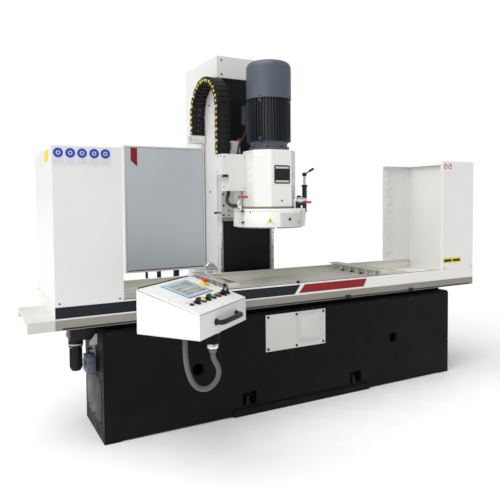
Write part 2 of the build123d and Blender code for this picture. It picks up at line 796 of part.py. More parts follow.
def panel_lid():
    slope = cos(radians(LID_SLOPE))
    length = (PANEL_DEPTH - 13) / slope
    plate = block(0, PANEL_WIDTH, 0, length, -LID_THICK, 0)
    plate = Pos(0, 0, PANEL_FRONT_HEIGHT) * Rot(LID_SLOPE, 0, 0) * plate
    lid = panel_place(plate)
    for u, v in [*CONTROLS.values(), ESTOP_SPOT]:
        lid = lid - lid_place(u, v, post(0, 0, STEM_R + RUNNING, -40, 10))
    u0, u1, v0, v1 = SCREEN
    return lid - lid_place(u0, v0, block(0, u1 - u0, 0, (v1 - v0) / slope, -5, 5))


def touch_screen():
    u0, u1, v0, v1 = SCREEN
    slope = cos(radians(LID_SLOPE))
    plate = block(0.2, u1 - u0 - 0.2, 0.2, (v1 - v0) / slope - 0.2, -5, 2)
    return lid_place(u0, v0, plate)


def push_button(name):
    cap = post(0, 0, 13, 5, 12) + post(0, 0, STEM_R, -24, 5)
    return lid_place(*CONTROLS[name], cap)


def selector(name):
    knob = post(0, 0, 14, GAP, 10) + block(-16, 16, -5, 5, 10, 26)
    return lid_place(*CONTROLS[name], knob + post(0, 0, STEM_R, -24, GAP))


def jog_stick():
    """A small joystick, whose ball sits on the lid and whose cardan is inside its boot."""
    stick = post(0, 0, 5, 14, 52) + Pos(0, 0, 14) * Sphere(12) + Pos(0, 0, 54) * Sphere(11)
    return lid_place(*CONTROLS["jog_stick"], stick)


def estop_button():
    cap = post(0, 0, 20, 22, 38)
    cap = fillet(cap.edges().sort_by(Axis.Z)[-1], 6)
    return lid_place(*ESTOP_SPOT, cap + post(0, 0, STEM_R, -24, 22))


PANEL_CONDUIT = [
    (-979, -855, 645),
    (-979, -855, 611),
    (-955, -851, 575),
    (-938, -845, 530),
    (-950, -838, 478),
    (-990, -832, 444),
    (-1042, -832, 446),
    (-1086, -838, 486),
    (-1112, -842, 548),
    (-1124, -842, 612),
    (-1126, -840, 671),
    (-1126, -840, 728),
]


def panel_conduit():
    return cord_tube("panel_conduit", PANEL_CONDUIT, PANEL_CONDUIT_R)


# ---- swivel arm --------------------------------------------------------------------------------
def arm_bracket():
    x, y = ARM_PIVOT
    front = -BED_DEPTH / 2
    plate = block(x - 60, x + 60, front - 14, front, 560, 670)
    ledge = block(x - 38, x + 38, y - 38, front, 650, ARM_BOTTOM - GAP)
    gusset = block(x - 8, x + 8, y, front - 14, 575, 650)
    pin = post(x, y, 15, 650, ARM_TOP + 12)
    cap = post(x, y, 24, ARM_TOP + GAP, ARM_TOP + 12)
    return joined([plate, ledge, gusset, pin, cap])


def swivel_arm():
    x0, y0 = ARM_PIVOT
    x1, y1 = PANEL_PIVOT
    length = hypot(x1 - x0, y1 - y0)
    turn = degrees(atan2(y1 - y0, x1 - x0))
    beam = block(0, length, -25, 25, ARM_BOTTOM, ARM_TOP)
    parts = [
        Pos(x0, y0, 0) * Rot(0, 0, turn) * beam,
        post(x0, y0, 34, ARM_BOTTOM, ARM_TOP),
        post(x1, y1, 38, ARM_BOTTOM, ARM_TOP + 10 - GAP),
    ]
    arm = joined(parts)
    arm = arm - post(x0, y0, 15 + RUNNING, 600, 800)
    return arm - post(x1, y1, 22 + RUNNING, 600, 800)


# ---- all nodes ---------------------------------------------------------------------------------
def all_nodes():
    nodes = {
        "bed_casting": bed_casting(),
        "bed_cover_plate": bed_cover_plate(),
        "cover_screws": cover_screws(),
        "table_gearbox": table_gearbox(),
        "table_motor": table_motor(),
        "lube_unit": lube_unit(),
        "table_screw": table_screw(),
        "table_slab": table_slab(),
        "table_nut": table_nut(),
        "tray": tray(),
        "work_table": work_table(),
        "left_tower": left_tower(),
        "right_tower": right_tower(),
        "left_support": work_support(-545),
        "right_support": work_support(749),
        "column": column(),
        "column_way_cover": column_way_cover(),
        "lift_screw": lift_screw(),
        "lift_motor": lift_motor(),
        "lift_nut": lift_nut(),
        "chain_bracket": chain_bracket(),
        "cable_chain": cable_chain(),
        "saddle": saddle(),
        "saddle_cover": saddle_cover(),
        "spindle_housing": spindle_housing(),
        "spindle_bearings": spindle_bearings(),
        "motor_frame": motor_frame(),
        "motor_cowl": motor_cowl(),
        "terminal_box": terminal_box(),
        "motor_conduit": motor_conduit(),
        "wheel_guard": wheel_guard(),
        "spindle_shaft": spindle_shaft(),
        "wheel_plate": wheel_plate(),
        "grinding_segments": grinding_segments(),
        "left_valve": left_valve(),
        "left_valve_lever": left_valve_lever(),
        "right_valve": right_valve(),
        "right_valve_lever": right_valve_lever(),
        "dresser_body": dresser_body(),
        "dresser_rod": dresser_rod(),
        "cabinet_body": cabinet_body(),
        "cabinet_door": cabinet_door(),
        "main_switch": main_switch(),
        "panel_box": panel_box(),
        "panel_handle": panel_handle(),
        "panel_lid": panel_lid(),
        "touch_screen": touch_screen(),
        "estop_button": estop_button(),
        "jog_stick": jog_stick(),
        "panel_conduit": panel_conduit(),
        "arm_bracket": arm_bracket(),
        "swivel_arm": swivel_arm(),
    }
    for name in ("mode_selector", "feed_selector"):
        nodes[name] = selector(name)
    for name in ("reset_button", "start_button", "stop_button"):
        nodes[name] = push_button(name)
    for name in HOSES:
        nodes[name] = cabinet_hose(name)
    return nodes


os.makedirs("parts", exist_ok=True)
for name, shape in all_nodes().items():
    export_step(shape, f"parts/{name}.step")
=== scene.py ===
"""Looks for a moving-table surface grinder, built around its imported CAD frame.

Lengths are millimetres, as in the CAD source, and every mesh is scaled to metres when it is done.
X runs along the bed to the right, Y to the rear and Z up. The origin is on the floor, under the bed.
"""

import json
import math

import bmesh
import bpy
from mathutils import Matrix, Vector


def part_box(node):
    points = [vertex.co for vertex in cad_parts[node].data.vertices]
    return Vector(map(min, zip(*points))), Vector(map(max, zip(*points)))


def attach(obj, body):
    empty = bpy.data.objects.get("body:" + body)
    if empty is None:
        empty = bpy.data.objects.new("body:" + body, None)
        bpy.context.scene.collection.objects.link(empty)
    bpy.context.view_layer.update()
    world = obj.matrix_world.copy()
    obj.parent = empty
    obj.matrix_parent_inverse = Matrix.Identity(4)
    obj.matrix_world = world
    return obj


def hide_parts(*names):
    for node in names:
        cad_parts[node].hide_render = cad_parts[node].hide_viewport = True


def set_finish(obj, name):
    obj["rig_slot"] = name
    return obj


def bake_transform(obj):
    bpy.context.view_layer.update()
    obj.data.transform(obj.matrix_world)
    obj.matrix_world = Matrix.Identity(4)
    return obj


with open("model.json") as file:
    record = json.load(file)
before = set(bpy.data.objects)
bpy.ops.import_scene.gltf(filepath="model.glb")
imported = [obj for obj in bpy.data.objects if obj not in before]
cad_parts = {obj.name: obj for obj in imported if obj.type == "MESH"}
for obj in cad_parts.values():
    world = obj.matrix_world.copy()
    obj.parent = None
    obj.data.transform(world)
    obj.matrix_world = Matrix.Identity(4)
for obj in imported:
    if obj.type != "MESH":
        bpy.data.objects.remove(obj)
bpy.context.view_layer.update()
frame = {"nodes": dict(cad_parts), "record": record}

MM = 0.001
NODES = frame["nodes"]
TAU = 2 * math.pi


def box_of(node):
    """A CAD node's lowest and highest corners, in millimetres."""
    low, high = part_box(node)
    return low / MM, high / MM


# ---- materials ---------------------------------------------------------------------------------
def socket(node, name, value):
    node.inputs[name].default_value = value


def noise(tree, source, scale, detail=4.0, stretch=(1, 1, 1)):
    """A noise texture in the machine's own coordinates."""
    mapping = tree.nodes.new("ShaderNodeMapping")
    socket(mapping, "Scale", stretch)
    tree.links.new(source, mapping.inputs["Vector"])
    texture = tree.nodes.new("ShaderNodeTexNoise")
    socket(texture, "Scale", scale)
    socket(texture, "Detail", detail)
    tree.links.new(mapping.outputs["Vector"], texture.inputs["Vector"])
    return texture.outputs["Fac"]


def remap(tree, source, low, high, out_low, out_high):
    node = tree.nodes.new("ShaderNodeMapRange")
    for name, value in (("From Min", low), ("From Max", high), ("To Min", out_low), ("To Max", out_high)):
        socket(node, name, value)
    tree.links.new(source, node.inputs["Value"])
    return node.outputs["Result"]


def blend_colours(tree, share, first, second):
    node = tree.nodes.new("ShaderNodeMix")
    node.data_type = "RGBA"
    tree.links.new(share, node.inputs["Factor"])
    for place, value in ((6, first), (7, second)):
        if isinstance(value, bpy.types.NodeSocket):
            tree.links.new(value, node.inputs[place])
        else:
            node.inputs[place].default_value = (*value, 1)
    return node.outputs[2]


def bump(tree, height, strength, distance, before=None):
    node = tree.nodes.new("ShaderNodeBump")
    socket(node, "Strength", strength)
    socket(node, "Distance", distance * MM)
    tree.links.new(height, node.inputs["Height"])
    if before is not None:
        tree.links.new(before, node.inputs["Normal"])
    return node.outputs["Normal"]


def surface(
    name,
    colour,
    rough=0.4,
    metal=0.0,
    mottle=0.06,
    grain=900,
    relief=0.25,
    stretch=(1, 1, 1),
    coat=0.0,
    level=0.5,
    dust=None,
):
    """A finish with cloudy colour, uneven gloss and a fine surface grain, and dust low down if asked."""
    material = bpy.data.materials.new(name)
    material.use_nodes = True
    tree = material.node_tree
    shader = tree.nodes["Principled BSDF"]
    where = tree.nodes.new("ShaderNodeTexCoord").outputs["Object"]
    cloud = remap(tree, noise(tree, where, 2.3), 0.3, 0.7, 0, 1)
    dark = [max(0, c * (1 - mottle)) for c in colour]
    light = [min(1, c * (1 + mottle) + mottle * 0.02) for c in colour]
    tone = blend_colours(tree, cloud, dark, light)
    if dust:
        height = tree.nodes.new("ShaderNodeSeparateXYZ")
        tree.links.new(where, height.inputs["Vector"])
        low = remap(tree, height.outputs["Z"], 0, dust[1] * MM, dust[2], 0)
        patch = remap(tree, noise(tree, where, 14), 0.35, 0.7, 0.3, 1)
        share = tree.nodes.new("ShaderNodeMath")
        share.operation = "MULTIPLY"
        tree.links.new(low, share.inputs[0])
        tree.links.new(patch, share.inputs[1])
        tone = blend_colours(tree, share.outputs[0], tone, dust[0])
    tree.links.new(tone, shader.inputs["Base Color"])
    smear = noise(tree, where, 9, stretch=stretch)
    spread = 0.25 * rough
    gloss = remap(tree, smear, 0.3, 0.7, rough - spread, min(1, rough + spread))
    tree.links.new(gloss, shader.inputs["Roughness"])
    fine = noise(tree, where, grain, 2.0, stretch)
    tree.links.new(bump(tree, fine, relief, 0.25), shader.inputs["Normal"])
    socket(shader, "Metallic", metal)
    socket(shader, "Coat Weight", coat)
    socket(shader, "Coat Roughness", 0.12)
    socket(shader, "Specular IOR Level", level)
    return material


BRUSHED_X = (0.03, 1, 1)
BRUSHED_Z = (1, 1, 0.03)
FLOOR_DUST = ((0.03, 0.029, 0.027), 220, 0.2)

PAINT = {
    "bed_black": surface(
        "bed_black", (0.005, 0.005, 0.0055), 0.5, mottle=0.06, grain=420, level=0.09, dust=FLOOR_DUST
    ),
    "sheet_white": surface("sheet_white", (0.76, 0.76, 0.745), 0.42, mottle=0.015, grain=700),
    "way_grey": surface("way_grey", (0.60, 0.595, 0.575), 0.4, mottle=0.04),
    "door_grey": surface("door_grey", (0.52, 0.565, 0.60), 0.38, mottle=0.03),
    "head_white": surface("head_white", (0.82, 0.82, 0.80), 0.25, mottle=0.015, grain=300, coat=0.35),
    "motor_grey": surface("motor_grey", (0.075, 0.092, 0.118), 0.38, mottle=0.12, grain=500),
    "cover_black": surface(
        "cover_black", (0.007, 0.008, 0.010), 0.42, mottle=0.08, stretch=BRUSHED_X, level=0.15
    ),
    "machined_iron": surface("machined_iron", (0.60, 0.59, 0.54), 0.42, 0.3, 0.06, 1400, stretch=BRUSHED_X),
    "ground_steel": surface("ground_steel", (0.62, 0.62, 0.615), 0.22, 1.0, 0.05, 1500, stretch=BRUSHED_Z),
    "bearing_steel": surface("bearing_steel", (0.68, 0.68, 0.69), 0.16, 1.0, 0.05, 1500),
    "chrome": surface("chrome", (0.78, 0.78, 0.79), 0.09, 1.0, 0.04, 300, 0.08),
    "screw_black": surface("screw_black", (0.020, 0.020, 0.021), 0.36, 0.5, 0.2),
    "abrasive": surface("abrasive", (0.36, 0.33, 0.29), 0.9, mottle=0.25, grain=520, relief=1.0),
    "black_plastic": surface(
        "black_plastic", (0.009, 0.009, 0.010), 0.42, mottle=0.06, grain=1200, level=0.3
    ),
    "chain_black": surface("chain_black", (0.007, 0.007, 0.008), 0.4, mottle=0.08, grain=1100, level=0.25),
    "motor_black": surface("motor_black", (0.009, 0.009, 0.010), 0.45, mottle=0.1, grain=600, level=0.25),
    "pump_blue": surface("pump_blue", (0.115, 0.135, 0.185), 0.42, mottle=0.12),
    "red_plastic": surface("red_plastic", (0.60, 0.020, 0.016), 0.3, mottle=0.08, coat=0.3),
    "yellow_plastic": surface("yellow_plastic", (0.80, 0.60, 0.03), 0.35, mottle=0.06, coat=0.2),
    "green_plastic": surface("green_plastic", (0.02, 0.36, 0.13), 0.3, mottle=0.08, coat=0.3),
    "screen": surface("screen", (0.30, 0.42, 0.50), 0.12, mottle=0.04, relief=0.02, coat=0.6),
    "hose_black": surface("hose_black", (0.012, 0.012, 0.012), 0.5, mottle=0.2),
    "conduit_grey": surface("conduit_grey", (0.125, 0.125, 0.14), 0.42, mottle=0.12),
}
for row in frame["record"]["subparts"]:
    NODES[row["node"]].data.materials.clear()
    NODES[row["node"]].data.materials.append(PAINT[row["material_slot"]])


# ---- mesh building -----------------------------------------------------------------------------
def shift(place):
    """A placement moved to a point, without turning."""
    return Matrix.Translation(place)


def along(start, end):
    """A placement at start whose Z points to end."""
    direction = Vector(end) - Vector(start)
    turn = direction.to_track_quat("Z", "Y").to_matrix().to_4x4()
    return shift(start) @ turn


class Form:
    """A piece being built from parts, in millimetres."""

    def __init__(self, at=None):
        self.bm = bmesh.new()
        self.at = at or Matrix.Identity(4)

    def absorb(self, part, at=None):
        part.transform(self.at @ (at or Matrix.Identity(4)))
        mesh = bpy.data.meshes.new("part")
        part.to_mesh(mesh)
        part.free()
        self.bm.from_mesh(mesh)
        bpy.data.meshes.remove(mesh)
        return self

    def box(self, low, high, edge=1.0, at=None, steps=2):
        part = bmesh.new()
        verts = bmesh.ops.create_cube(part, size=1.0)["verts"]
        low, high = Vector(low), Vector(high)
        bmesh.ops.scale(part, vec=high - low, verts=verts)
        bmesh.ops.translate(part, vec=(low + high) / 2, verts=verts)
        if edge:
            edges = part.edges[:]
            bmesh.ops.bevel(part, geom=edges, offset=edge, segments=steps, profile=0.5, affect="EDGES")
        return self.absorb(part, at)

    def turned(self, profile, at=None, steps=48, start=0.0, sweep=TAU):
        """A profile of (radius, height) pairs, turned about Z."""
        part = bmesh.new()
        whole = abs(sweep - TAU) < 1e-6
        count = steps if whole else steps + 1
        rings = []
        for radius, height in profile:
            if radius < 1e-6:
                rings.append([part.verts.new((0, 0, height))] * count)
                continue
            ring = []
            for i in range(count):
                angle = start + sweep * i / steps
                ring.append(part.verts.new((radius * math.cos(angle), radius * math.sin(angle), height)))
            rings.append(ring)
        for lower, upper in zip(rings, rings[1:]):
            for i in range(steps):
                j = (i + 1) % count
                corners = [lower[i], lower[j], upper[j], upper[i]]
                corners = [v for k, v in enumerate(corners) if v not in corners[:k]]
                if len(corners) > 2:
                    part.faces.new(corners)
        return self.absorb(part, at)

    def rod(self, start, end, radius, edge=1.0, steps=32):
        """A round bar with small chamfers, from start to end."""
        length = (Vector(end) - Vector(start)).length
        small = max(radius - edge, 0.1)
        profile = [(0, 0), (small, 0), (radius, edge), (radius, length - edge), (small, length), (0, length)]
        return self.turned(profile, along(start, end), steps)

    def pipe(self, start, end, radius, bore, edge=1.0, steps=32):
        """A round bar with a hole through it."""
        length = (Vector(end) - Vector(start)).length
        profile = [
            (bore, 0),
            (radius - edge, 0),
            (radius, edge),
            (radius, length - edge),
            (radius - edge, length),
            (bore, length),
            (bore, 0),
        ]
        return self.turned(profile, along(start, end), steps)

    def prism(self, outline, low, high, edge=0.0, at=None, steps=2):
        """A flat outline of (x, y) points, raised from low to high."""
        part = bmesh.new()
        bottom = [part.verts.new((x, y, low)) for x, y in outline]
        top = [part.verts.new((x, y, high)) for x, y in outline]
        part.faces.new(bottom[::-1])
        part.faces.new(top)
        for i in range(len(outline)):
            j = (i + 1) % len(outline)
            part.faces.new([bottom[i], bottom[j], top[j], top[i]])
        if edge:
            sharp = [e for e in part.edges if e.calc_face_angle(0) > 0.5]
            bmesh.ops.bevel(part, geom=sharp, offset=edge, segments=steps, profile=0.5, affect="EDGES")
        return self.absorb(part, at)

    def tube(self, path, radius, steps=16):
        """A round tube along a path; radius is a number, or one for each point."""
        part = bmesh.new()
        radii = radius if isinstance(radius, list) else [radius] * len(path)
        points = [Vector(p) for p in path]
        side = None
        rings = []
        for i, here in enumerate(points):
            before = points[max(i - 1, 0)]
            after = points[min(i + 1, len(points) - 1)]
            direction = (after - before).normalized()
            if side is None:
                side = direction.orthogonal().normalized()
            side = (side - direction * side.dot(direction)).normalized()
            other = direction.cross(side)
            ring = []
            for k in range(steps):
                angle = TAU * k / steps
                offset = side * math.cos(angle) + other * math.sin(angle)
                ring.append(part.verts.new(here + offset * radii[i]))
            rings.append(ring)
        for lower, upper in zip(rings, rings[1:]):
            for k in range(steps):
                j = (k + 1) % steps
                part.faces.new([lower[k], lower[j], upper[j], upper[k]])
        part.faces.new(rings[0][::-1])
        part.faces.new(rings[-1])
        return self.absorb(part)

    def done(self, name, body, slot, *replaced, sharp=38, material=None):
        """Makes the object, gives it its finish and lets it ride on a body."""
        bmesh.ops.recalc_face_normals(self.bm, faces=self.bm.faces[:])
        mesh = bpy.data.meshes.new(name)
        self.bm.to_mesh(mesh)
        self.bm.free()
        mesh.transform(Matrix.Scale(MM, 4))
        mesh.shade_smooth()
        mesh.set_sharp_from_angle(angle=math.radians(sharp))
        mesh.materials.append(material or PAINT[slot])
        piece = bpy.data.objects.new(name, mesh)
        bpy.context.scene.collection.objects.link(piece)
        if body:
            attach(piece, body)
        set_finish(piece, slot)
        if replaced:
            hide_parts(*replaced)
        return piece


def soften(node, width, angle=30, segments=2):
    """Rounds a CAD node's sharp edges with modifiers, which leave its own mesh as it is."""
    obj = NODES[node]
    if "custom_normal" in obj.data.attributes:
        obj.data.attributes.remove(obj.data.attributes["custom_normal"])
    obj.data.shade_smooth()
    weld = obj.modifiers.new("weld", "WELD")
    weld.merge_threshold = 0.00002
    flat = obj.modifiers.new("flat", "DECIMATE")
    flat.decimate_type = "DISSOLVE"
    flat.angle_limit = math.radians(0.5)
    bevel = obj.modifiers.new("bevel", "BEVEL")
    bevel.width = width * MM
    bevel.segments = segments
    bevel.limit_method = "ANGLE"
    bevel.angle_limit = math.radians(angle)
    bevel.harden_normals = True
    bevel.miter_outer = "MITER_ARC"


# ---- camera, light and floor -------------------------------------------------------------------
CAMERA_AT = (-2118, -3424, 1431)
CAMERA_YAW = 27.99
CAMERA_DOWN = 2.38
CAMERA_ROLL = 0.5
CAMERA_LENS = 39.13
CAMERA_SHIFT = -0.0547


def make_camera():
    data = bpy.data.cameras.new("camera")
    data.lens = CAMERA_LENS
    data.sensor_width = 36
    data.shift_y = CAMERA_SHIFT
    data.clip_end = 200
    camera = bpy.data.objects.new("camera", data)
    yaw, down, roll = (math.radians(a) for a in (CAMERA_YAW, CAMERA_DOWN, CAMERA_ROLL))
    forward = Vector((math.sin(yaw) * math.cos(down), math.cos(yaw) * math.cos(down), -math.sin(down)))
    level = Vector((math.cos(yaw), -math.sin(yaw), 0))
    under = forward.cross(level)
    right = level * math.cos(roll) + under * math.sin(roll)
    up = level * math.sin(roll) - under * math.cos(roll)
    turn = Matrix((right, up, -forward)).transposed().to_4x4()
    camera.matrix_world = shift(Vector(CAMERA_AT) * MM) @ turn
    bpy.context.scene.collection.objects.link(camera)
    bpy.context.scene.camera = camera


def area_light(name, place, aim, size, power, colour=(1, 1, 1)):
    data = bpy.data.lights.new(name, "AREA")
    data.shape = "RECTANGLE"
    data.size, data.size_y = size
    data.energy = power
    data.color = colour
    light = bpy.data.objects.new(name, data)
    light.location = place
    light.rotation_euler = (Vector(aim) - Vector(place)).to_track_quat("-Z", "Y").to_euler()
    bpy.context.scene.collection.objects.link(light)


AMBIENT = 0.46


def make_stage():
    world = bpy.data.worlds.new("studio")
    world.use_nodes = True
    background = world.node_tree.nodes["Background"]
    socket(background, "Color", (1.0, 1.0, 1.0, 1))
    seen = world.node_tree.nodes.new("ShaderNodeLightPath")
    strength = remap(world.node_tree, seen.outputs["Is Camera Ray"], 0, 1, AMBIENT, 1.0)
    world.node_tree.links.new(strength, background.inputs["Strength"])
    bpy.context.scene.world = world
    bpy.context.scene.view_settings.view_transform = "Standard"
    sun = bpy.data.lights.new("sky", "SUN")
    sun.energy = 2.7
    sun.angle = math.radians(70)
    sky = bpy.data.objects.new("sky", sun)
    sky.rotation_euler = Vector((0.50, 0.12, -0.86)).to_track_quat("-Z", "Y").to_euler()
    bpy.context.scene.collection.objects.link(sky)
    area_light("left_window", (-5.5, -3.0, 3.2), (-0.3, 0, 1.2), (4.5, 3.5), 45)
    floor = Form()
    floor.turned([(0, 0), (60000, 0)], steps=96)
    pale = surface("floor", (0.92, 0.92, 0.92), 0.6, mottle=0.004)
    mesh = floor.done("floor", None, "sheet_white", material=pale)
    del mesh["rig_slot"]


make_camera()
make_stage()


# ---- cords -------------------------------------------------------------------------------------
def cord_curve(name, points, radius):
    """A smooth cord through the CAD route's points."""
    data = bpy.data.curves.new(name, "CURVE")
    data.dimensions = "3D"
    data.resolution_u = 12
    spline = data.splines.new("NURBS")
    spline.points.add(len(points) - 1)
    for point, place in zip(spline.points, points):
        point.co = (*(Vector(place) * MM), 1)
    spline.order_u = 3
    spline.use_endpoint_u = True
    data.bevel_depth = radius * MM
    data.bevel_resolution = 6
    curve = bpy.data.objects.new(name, data)
    bpy.context.scene.collection.objects.link(curve)
    return curve


def curve_line(points):
    """The points of the smooth line that a cord's spline follows, in millimetres."""
    curve = cord_curve("line", points, 0)
    bpy.context.view_layer.update()
    mesh = bpy.data.meshes.new_from_object(curve)
    line = [v.co / MM for v in mesh.vertices]
    bpy.data.meshes.remove(mesh)
    bpy.data.objects.remove(curve)
    return line


def even_steps(line, step):
    """The same line with points a fixed step apart."""
    points = [line[0]]
    left = step
    for start, end in zip(line, line[1:]):
        length = (end - start).length
        while left <= length:
            points.append(start.lerp(end, left / length))
            left += step
        left -= length
    points.append(line[-1])
    return points


def length_of(line):
    return sum((b - a).length for a, b in zip(line, line[1:]))


def corrugated(name, points, radius, pitch, body, slot, node):
    """A ribbed conduit: its radius rises and falls along the line."""
    line = even_steps(curve_line(points), pitch / 4)
    wave = (0.84, 0.96, 1.0, 0.96)
    radii = [radius * wave[i % 4] for i in range(len(line))]
    piece = Form().tube(line, radii, 20).done(name, body, slot, node, sharp=70)
    return piece, line


PANEL_CONDUIT = [
    (-979, -855, 645),
    (-979, -855, 611),
    (-955, -851, 575),
    (-938, -845, 530),
    (-950, -838, 478),
    (-990, -832, 444),
    (-1042, -832, 446),
    (-1086, -838, 486),
    (-1112, -842, 548),
    (-1124, -842, 612),
    (-1126, -840, 671),
    (-1126, -840, 728),
]
MOTOR_CONDUIT = [
    (-285, 205, 1770),
    (-285, 205, 1806),
    (-274, 211, 1841),
    (-251, 225, 1872),
    (-212, 248, 1906),
    (-189, 262, 1937),
    (-178, 268, 1972),
    (-178, 268, 2008),
]
HOSES = {"a": (-785, 11, 10), "b": (-680, 18, -8), "c": (-528, 25, -10)}


def make_cords():
    piece, line = corrugated("control_conduit", PANEL_CONDUIT, 14, 6, "panel", "conduit_grey", "panel_conduit")
    piece, line = corrugated("motor_lead", MOTOR_CONDUIT, 9, 5, "head", "hose_black", "motor_conduit")
    for letter, (x, radius, lean) in HOSES.items():
        points = [
            (x, 900, 850),
            (x, 900, 750),
            (x + lean, 888, 640),
            (x + 2 * lean, 840, 530),
            (x + 2 * lean, 745, 445),
            (x + lean, 600, 408),
            (x, 430, 400),
            (x, 255, 400),
        ]
        hose = cord_curve("supply_hose_" + letter, points, radius)
        hose.data.use_fill_caps = True
        hose.data.materials.append(PAINT["hose_black"])
        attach(hose, "base")
        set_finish(hose, "hose_black")
        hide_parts("cabinet_hose_" + letter)
        length = length_of(curve_line(points)) * MM


make_cords()

# ---- small hardware ----------------------------------------------------------------------------
def facing(place, normal):
    """A placement at place whose Z points along normal."""
    return along(place, Vector(place) + Vector(normal))


def cap_screw(form, place, normal, radius, height):
    """A round screw head with a socket."""
    r, h = radius, height
    profile = [(0, h * 0.4), (r * 0.5, h * 0.4), (r * 0.55, h), (r * 0.86, h), (r, h * 0.84), (r, -0.5)]
    form.turned(profile, facing(place, normal), 20)


def hex_bolt(form, place, normal, radius, height, washer=1.45):
    """A hexagon head on a washer."""
    outline = ring_of(6, radius)
    at = facing(place, normal)
    ring = radius * washer
    form.turned([(0, 2), (ring - 0.5, 2), (ring, 1.5), (ring, -0.5)], at, 24)
    form.prism(outline, 2, height, radius * 0.08, at)


def on_front(y):
    """A placement for outlines drawn in X and Z, raised towards the operator from a face at y."""
    return shift((0, y, 0)) @ Matrix.Rotation(math.radians(90), 4, "X")


def on_left(x):
    """A placement for outlines drawn in Y and Z, raised to the left from a face at x."""
    turn = Matrix(((0, 0, -1), (1, 0, 0), (0, 1, 0))).to_4x4()
    return shift((x, 0, 0)) @ turn


def ring_of(count, radius, start=0.0):
    """Points evenly round a circle."""
    angles = [start + TAU * k / count for k in range(count)]
    return [(radius * math.cos(a), radius * math.sin(a)) for a in angles]


DECAL = 0.5
NAVY = surface("decal_navy", (0.006, 0.009, 0.014), 0.35, mottle=0.05, level=0.25)
RED_BAND = surface("decal_red", (0.25, 0.010, 0.012), 0.4, mottle=0.04, level=0.25)
RING_RED = surface("decal_ring_red", (0.45, 0.02, 0.05), 0.35, mottle=0.06)
# Painted shade: a dark tan that stands for the shadow falling on the recessed slab front under the apron.
SLAB_PAINTED_SHADE = surface("slab_painted_shade", (0.25, 0.235, 0.205), 0.45, mottle=0.05)
CREAM = surface("tray_cream", (0.80, 0.785, 0.71), 0.4, mottle=0.02)
SIGN_BLUE = surface("decal_blue", (0.015, 0.06, 0.42), 0.35, mottle=0.06)
SIGN_YELLOW = surface("decal_yellow", (0.80, 0.66, 0.04), 0.38, mottle=0.04)
LABEL_PALE = surface("label_pale", (0.70, 0.71, 0.76), 0.4, mottle=0.03)
GLASS_BLUE = surface("screen_frame", (0.36, 0.52, 0.72), 0.2, mottle=0.03)
GLASS_GREY = surface("screen_glass", (0.30, 0.33, 0.30), 0.1, mottle=0.1, relief=0.02, coat=0.7)
GASKET = surface("gasket_olive", (0.23, 0.22, 0.16), 0.6, mottle=0.15)
FIN_DARK = surface("fin_dark", (0.022, 0.026, 0.034), 0.34, mottle=0.15, grain=500)
DARK_RUBBER = surface("dark_rubber", (0.010, 0.010, 0.010), 0.6, mottle=0.2)


# ---- bed ---------------------------------------------------------------------------------------
def make_bed():
    soften("bed_casting", 3)
    soften("bed_cover_plate", 1.5)
    low = box_of("bed_casting")[0]
    bolts = Form()
    for x in (-448, 448):
        for y in (-225, 225):
            bolts.turned([(0, 4), (21, 4), (22, 3), (22, 0)], shift((x, y, 63)), 28)
            hex_bolt(bolts, (x, y, 67), (0, 0, 1), 16, 14, 1.1)
            bolts.rod((x, y, 78), (x, y, 112), 9.5)
            for turn in range(4):
                z = 84 + turn * 6
                bolts.turned([(9.4, z), (10.2, z + 1.5), (9.4, z + 3)], shift((x, y, 0)), 24)
    bolts.done("anchor_bolts", "base", "screw_black")
    screws = Form()
    for x in (-303, -76, 150):
        for z in (417, 635):
            screws.turned([(0, 1.2), (9, 1.2), (9.6, 0)], facing((x, -261, z), (0, -1, 0)), 24)
            cap_screw(screws, (x, -262, z), (0, -1, 0), 6.5, 5)
    screws.done("cover_plate_screws", "base", "screw_black", "cover_screws")
    lid = Form()
    lid.box((-50, -279, 466), (106, -275, 618), 1.2)
    for x, z in ((-40, 476), (96, 476), (-40, 608), (96, 608)):
        cap_screw(lid, (x, -279, z), (0, -1, 0), 4, 3)
    lid.done("junction_lid", "base", "way_grey")
    studs = Form()
    for x in (-15, 64):
        hex_bolt(studs, (x, -255, 660), (0, -1, 0), 6, 8, 1.3)
    for x in (-1370, -1000, -500, 500, 1000, 1370):
        cap_screw(studs, (x, -255, 655), (0, -1, 0), 6, 3)
    studs.done("bed_front_studs", "base", "screw_black")
    plugs = Form()
    for x in (-814, 814):
        for side in (-1, 1):
            profile = [(40, -14), (43, -2), (43, 0), (40, 2), (37, 0), (37, -14)]
            plugs.turned(profile, facing((x, side * 255, 358), (0, side, 0)), 48)
    plugs.done("lifting_hole_rims", "base", "bed_black")
    end = Form()
    end.box((low.x - 3, -196, 92), (low.x, 196, 372), 1.5)
    for y, z in ((-180, 108), (180, 108), (-180, 356), (180, 356), (0, 108), (0, 356)):
        cap_screw(end, (low.x - 3, y, z), (-1, 0, 0), 6, 5)
    end.done("bed_end_plate", "base", "motor_black")


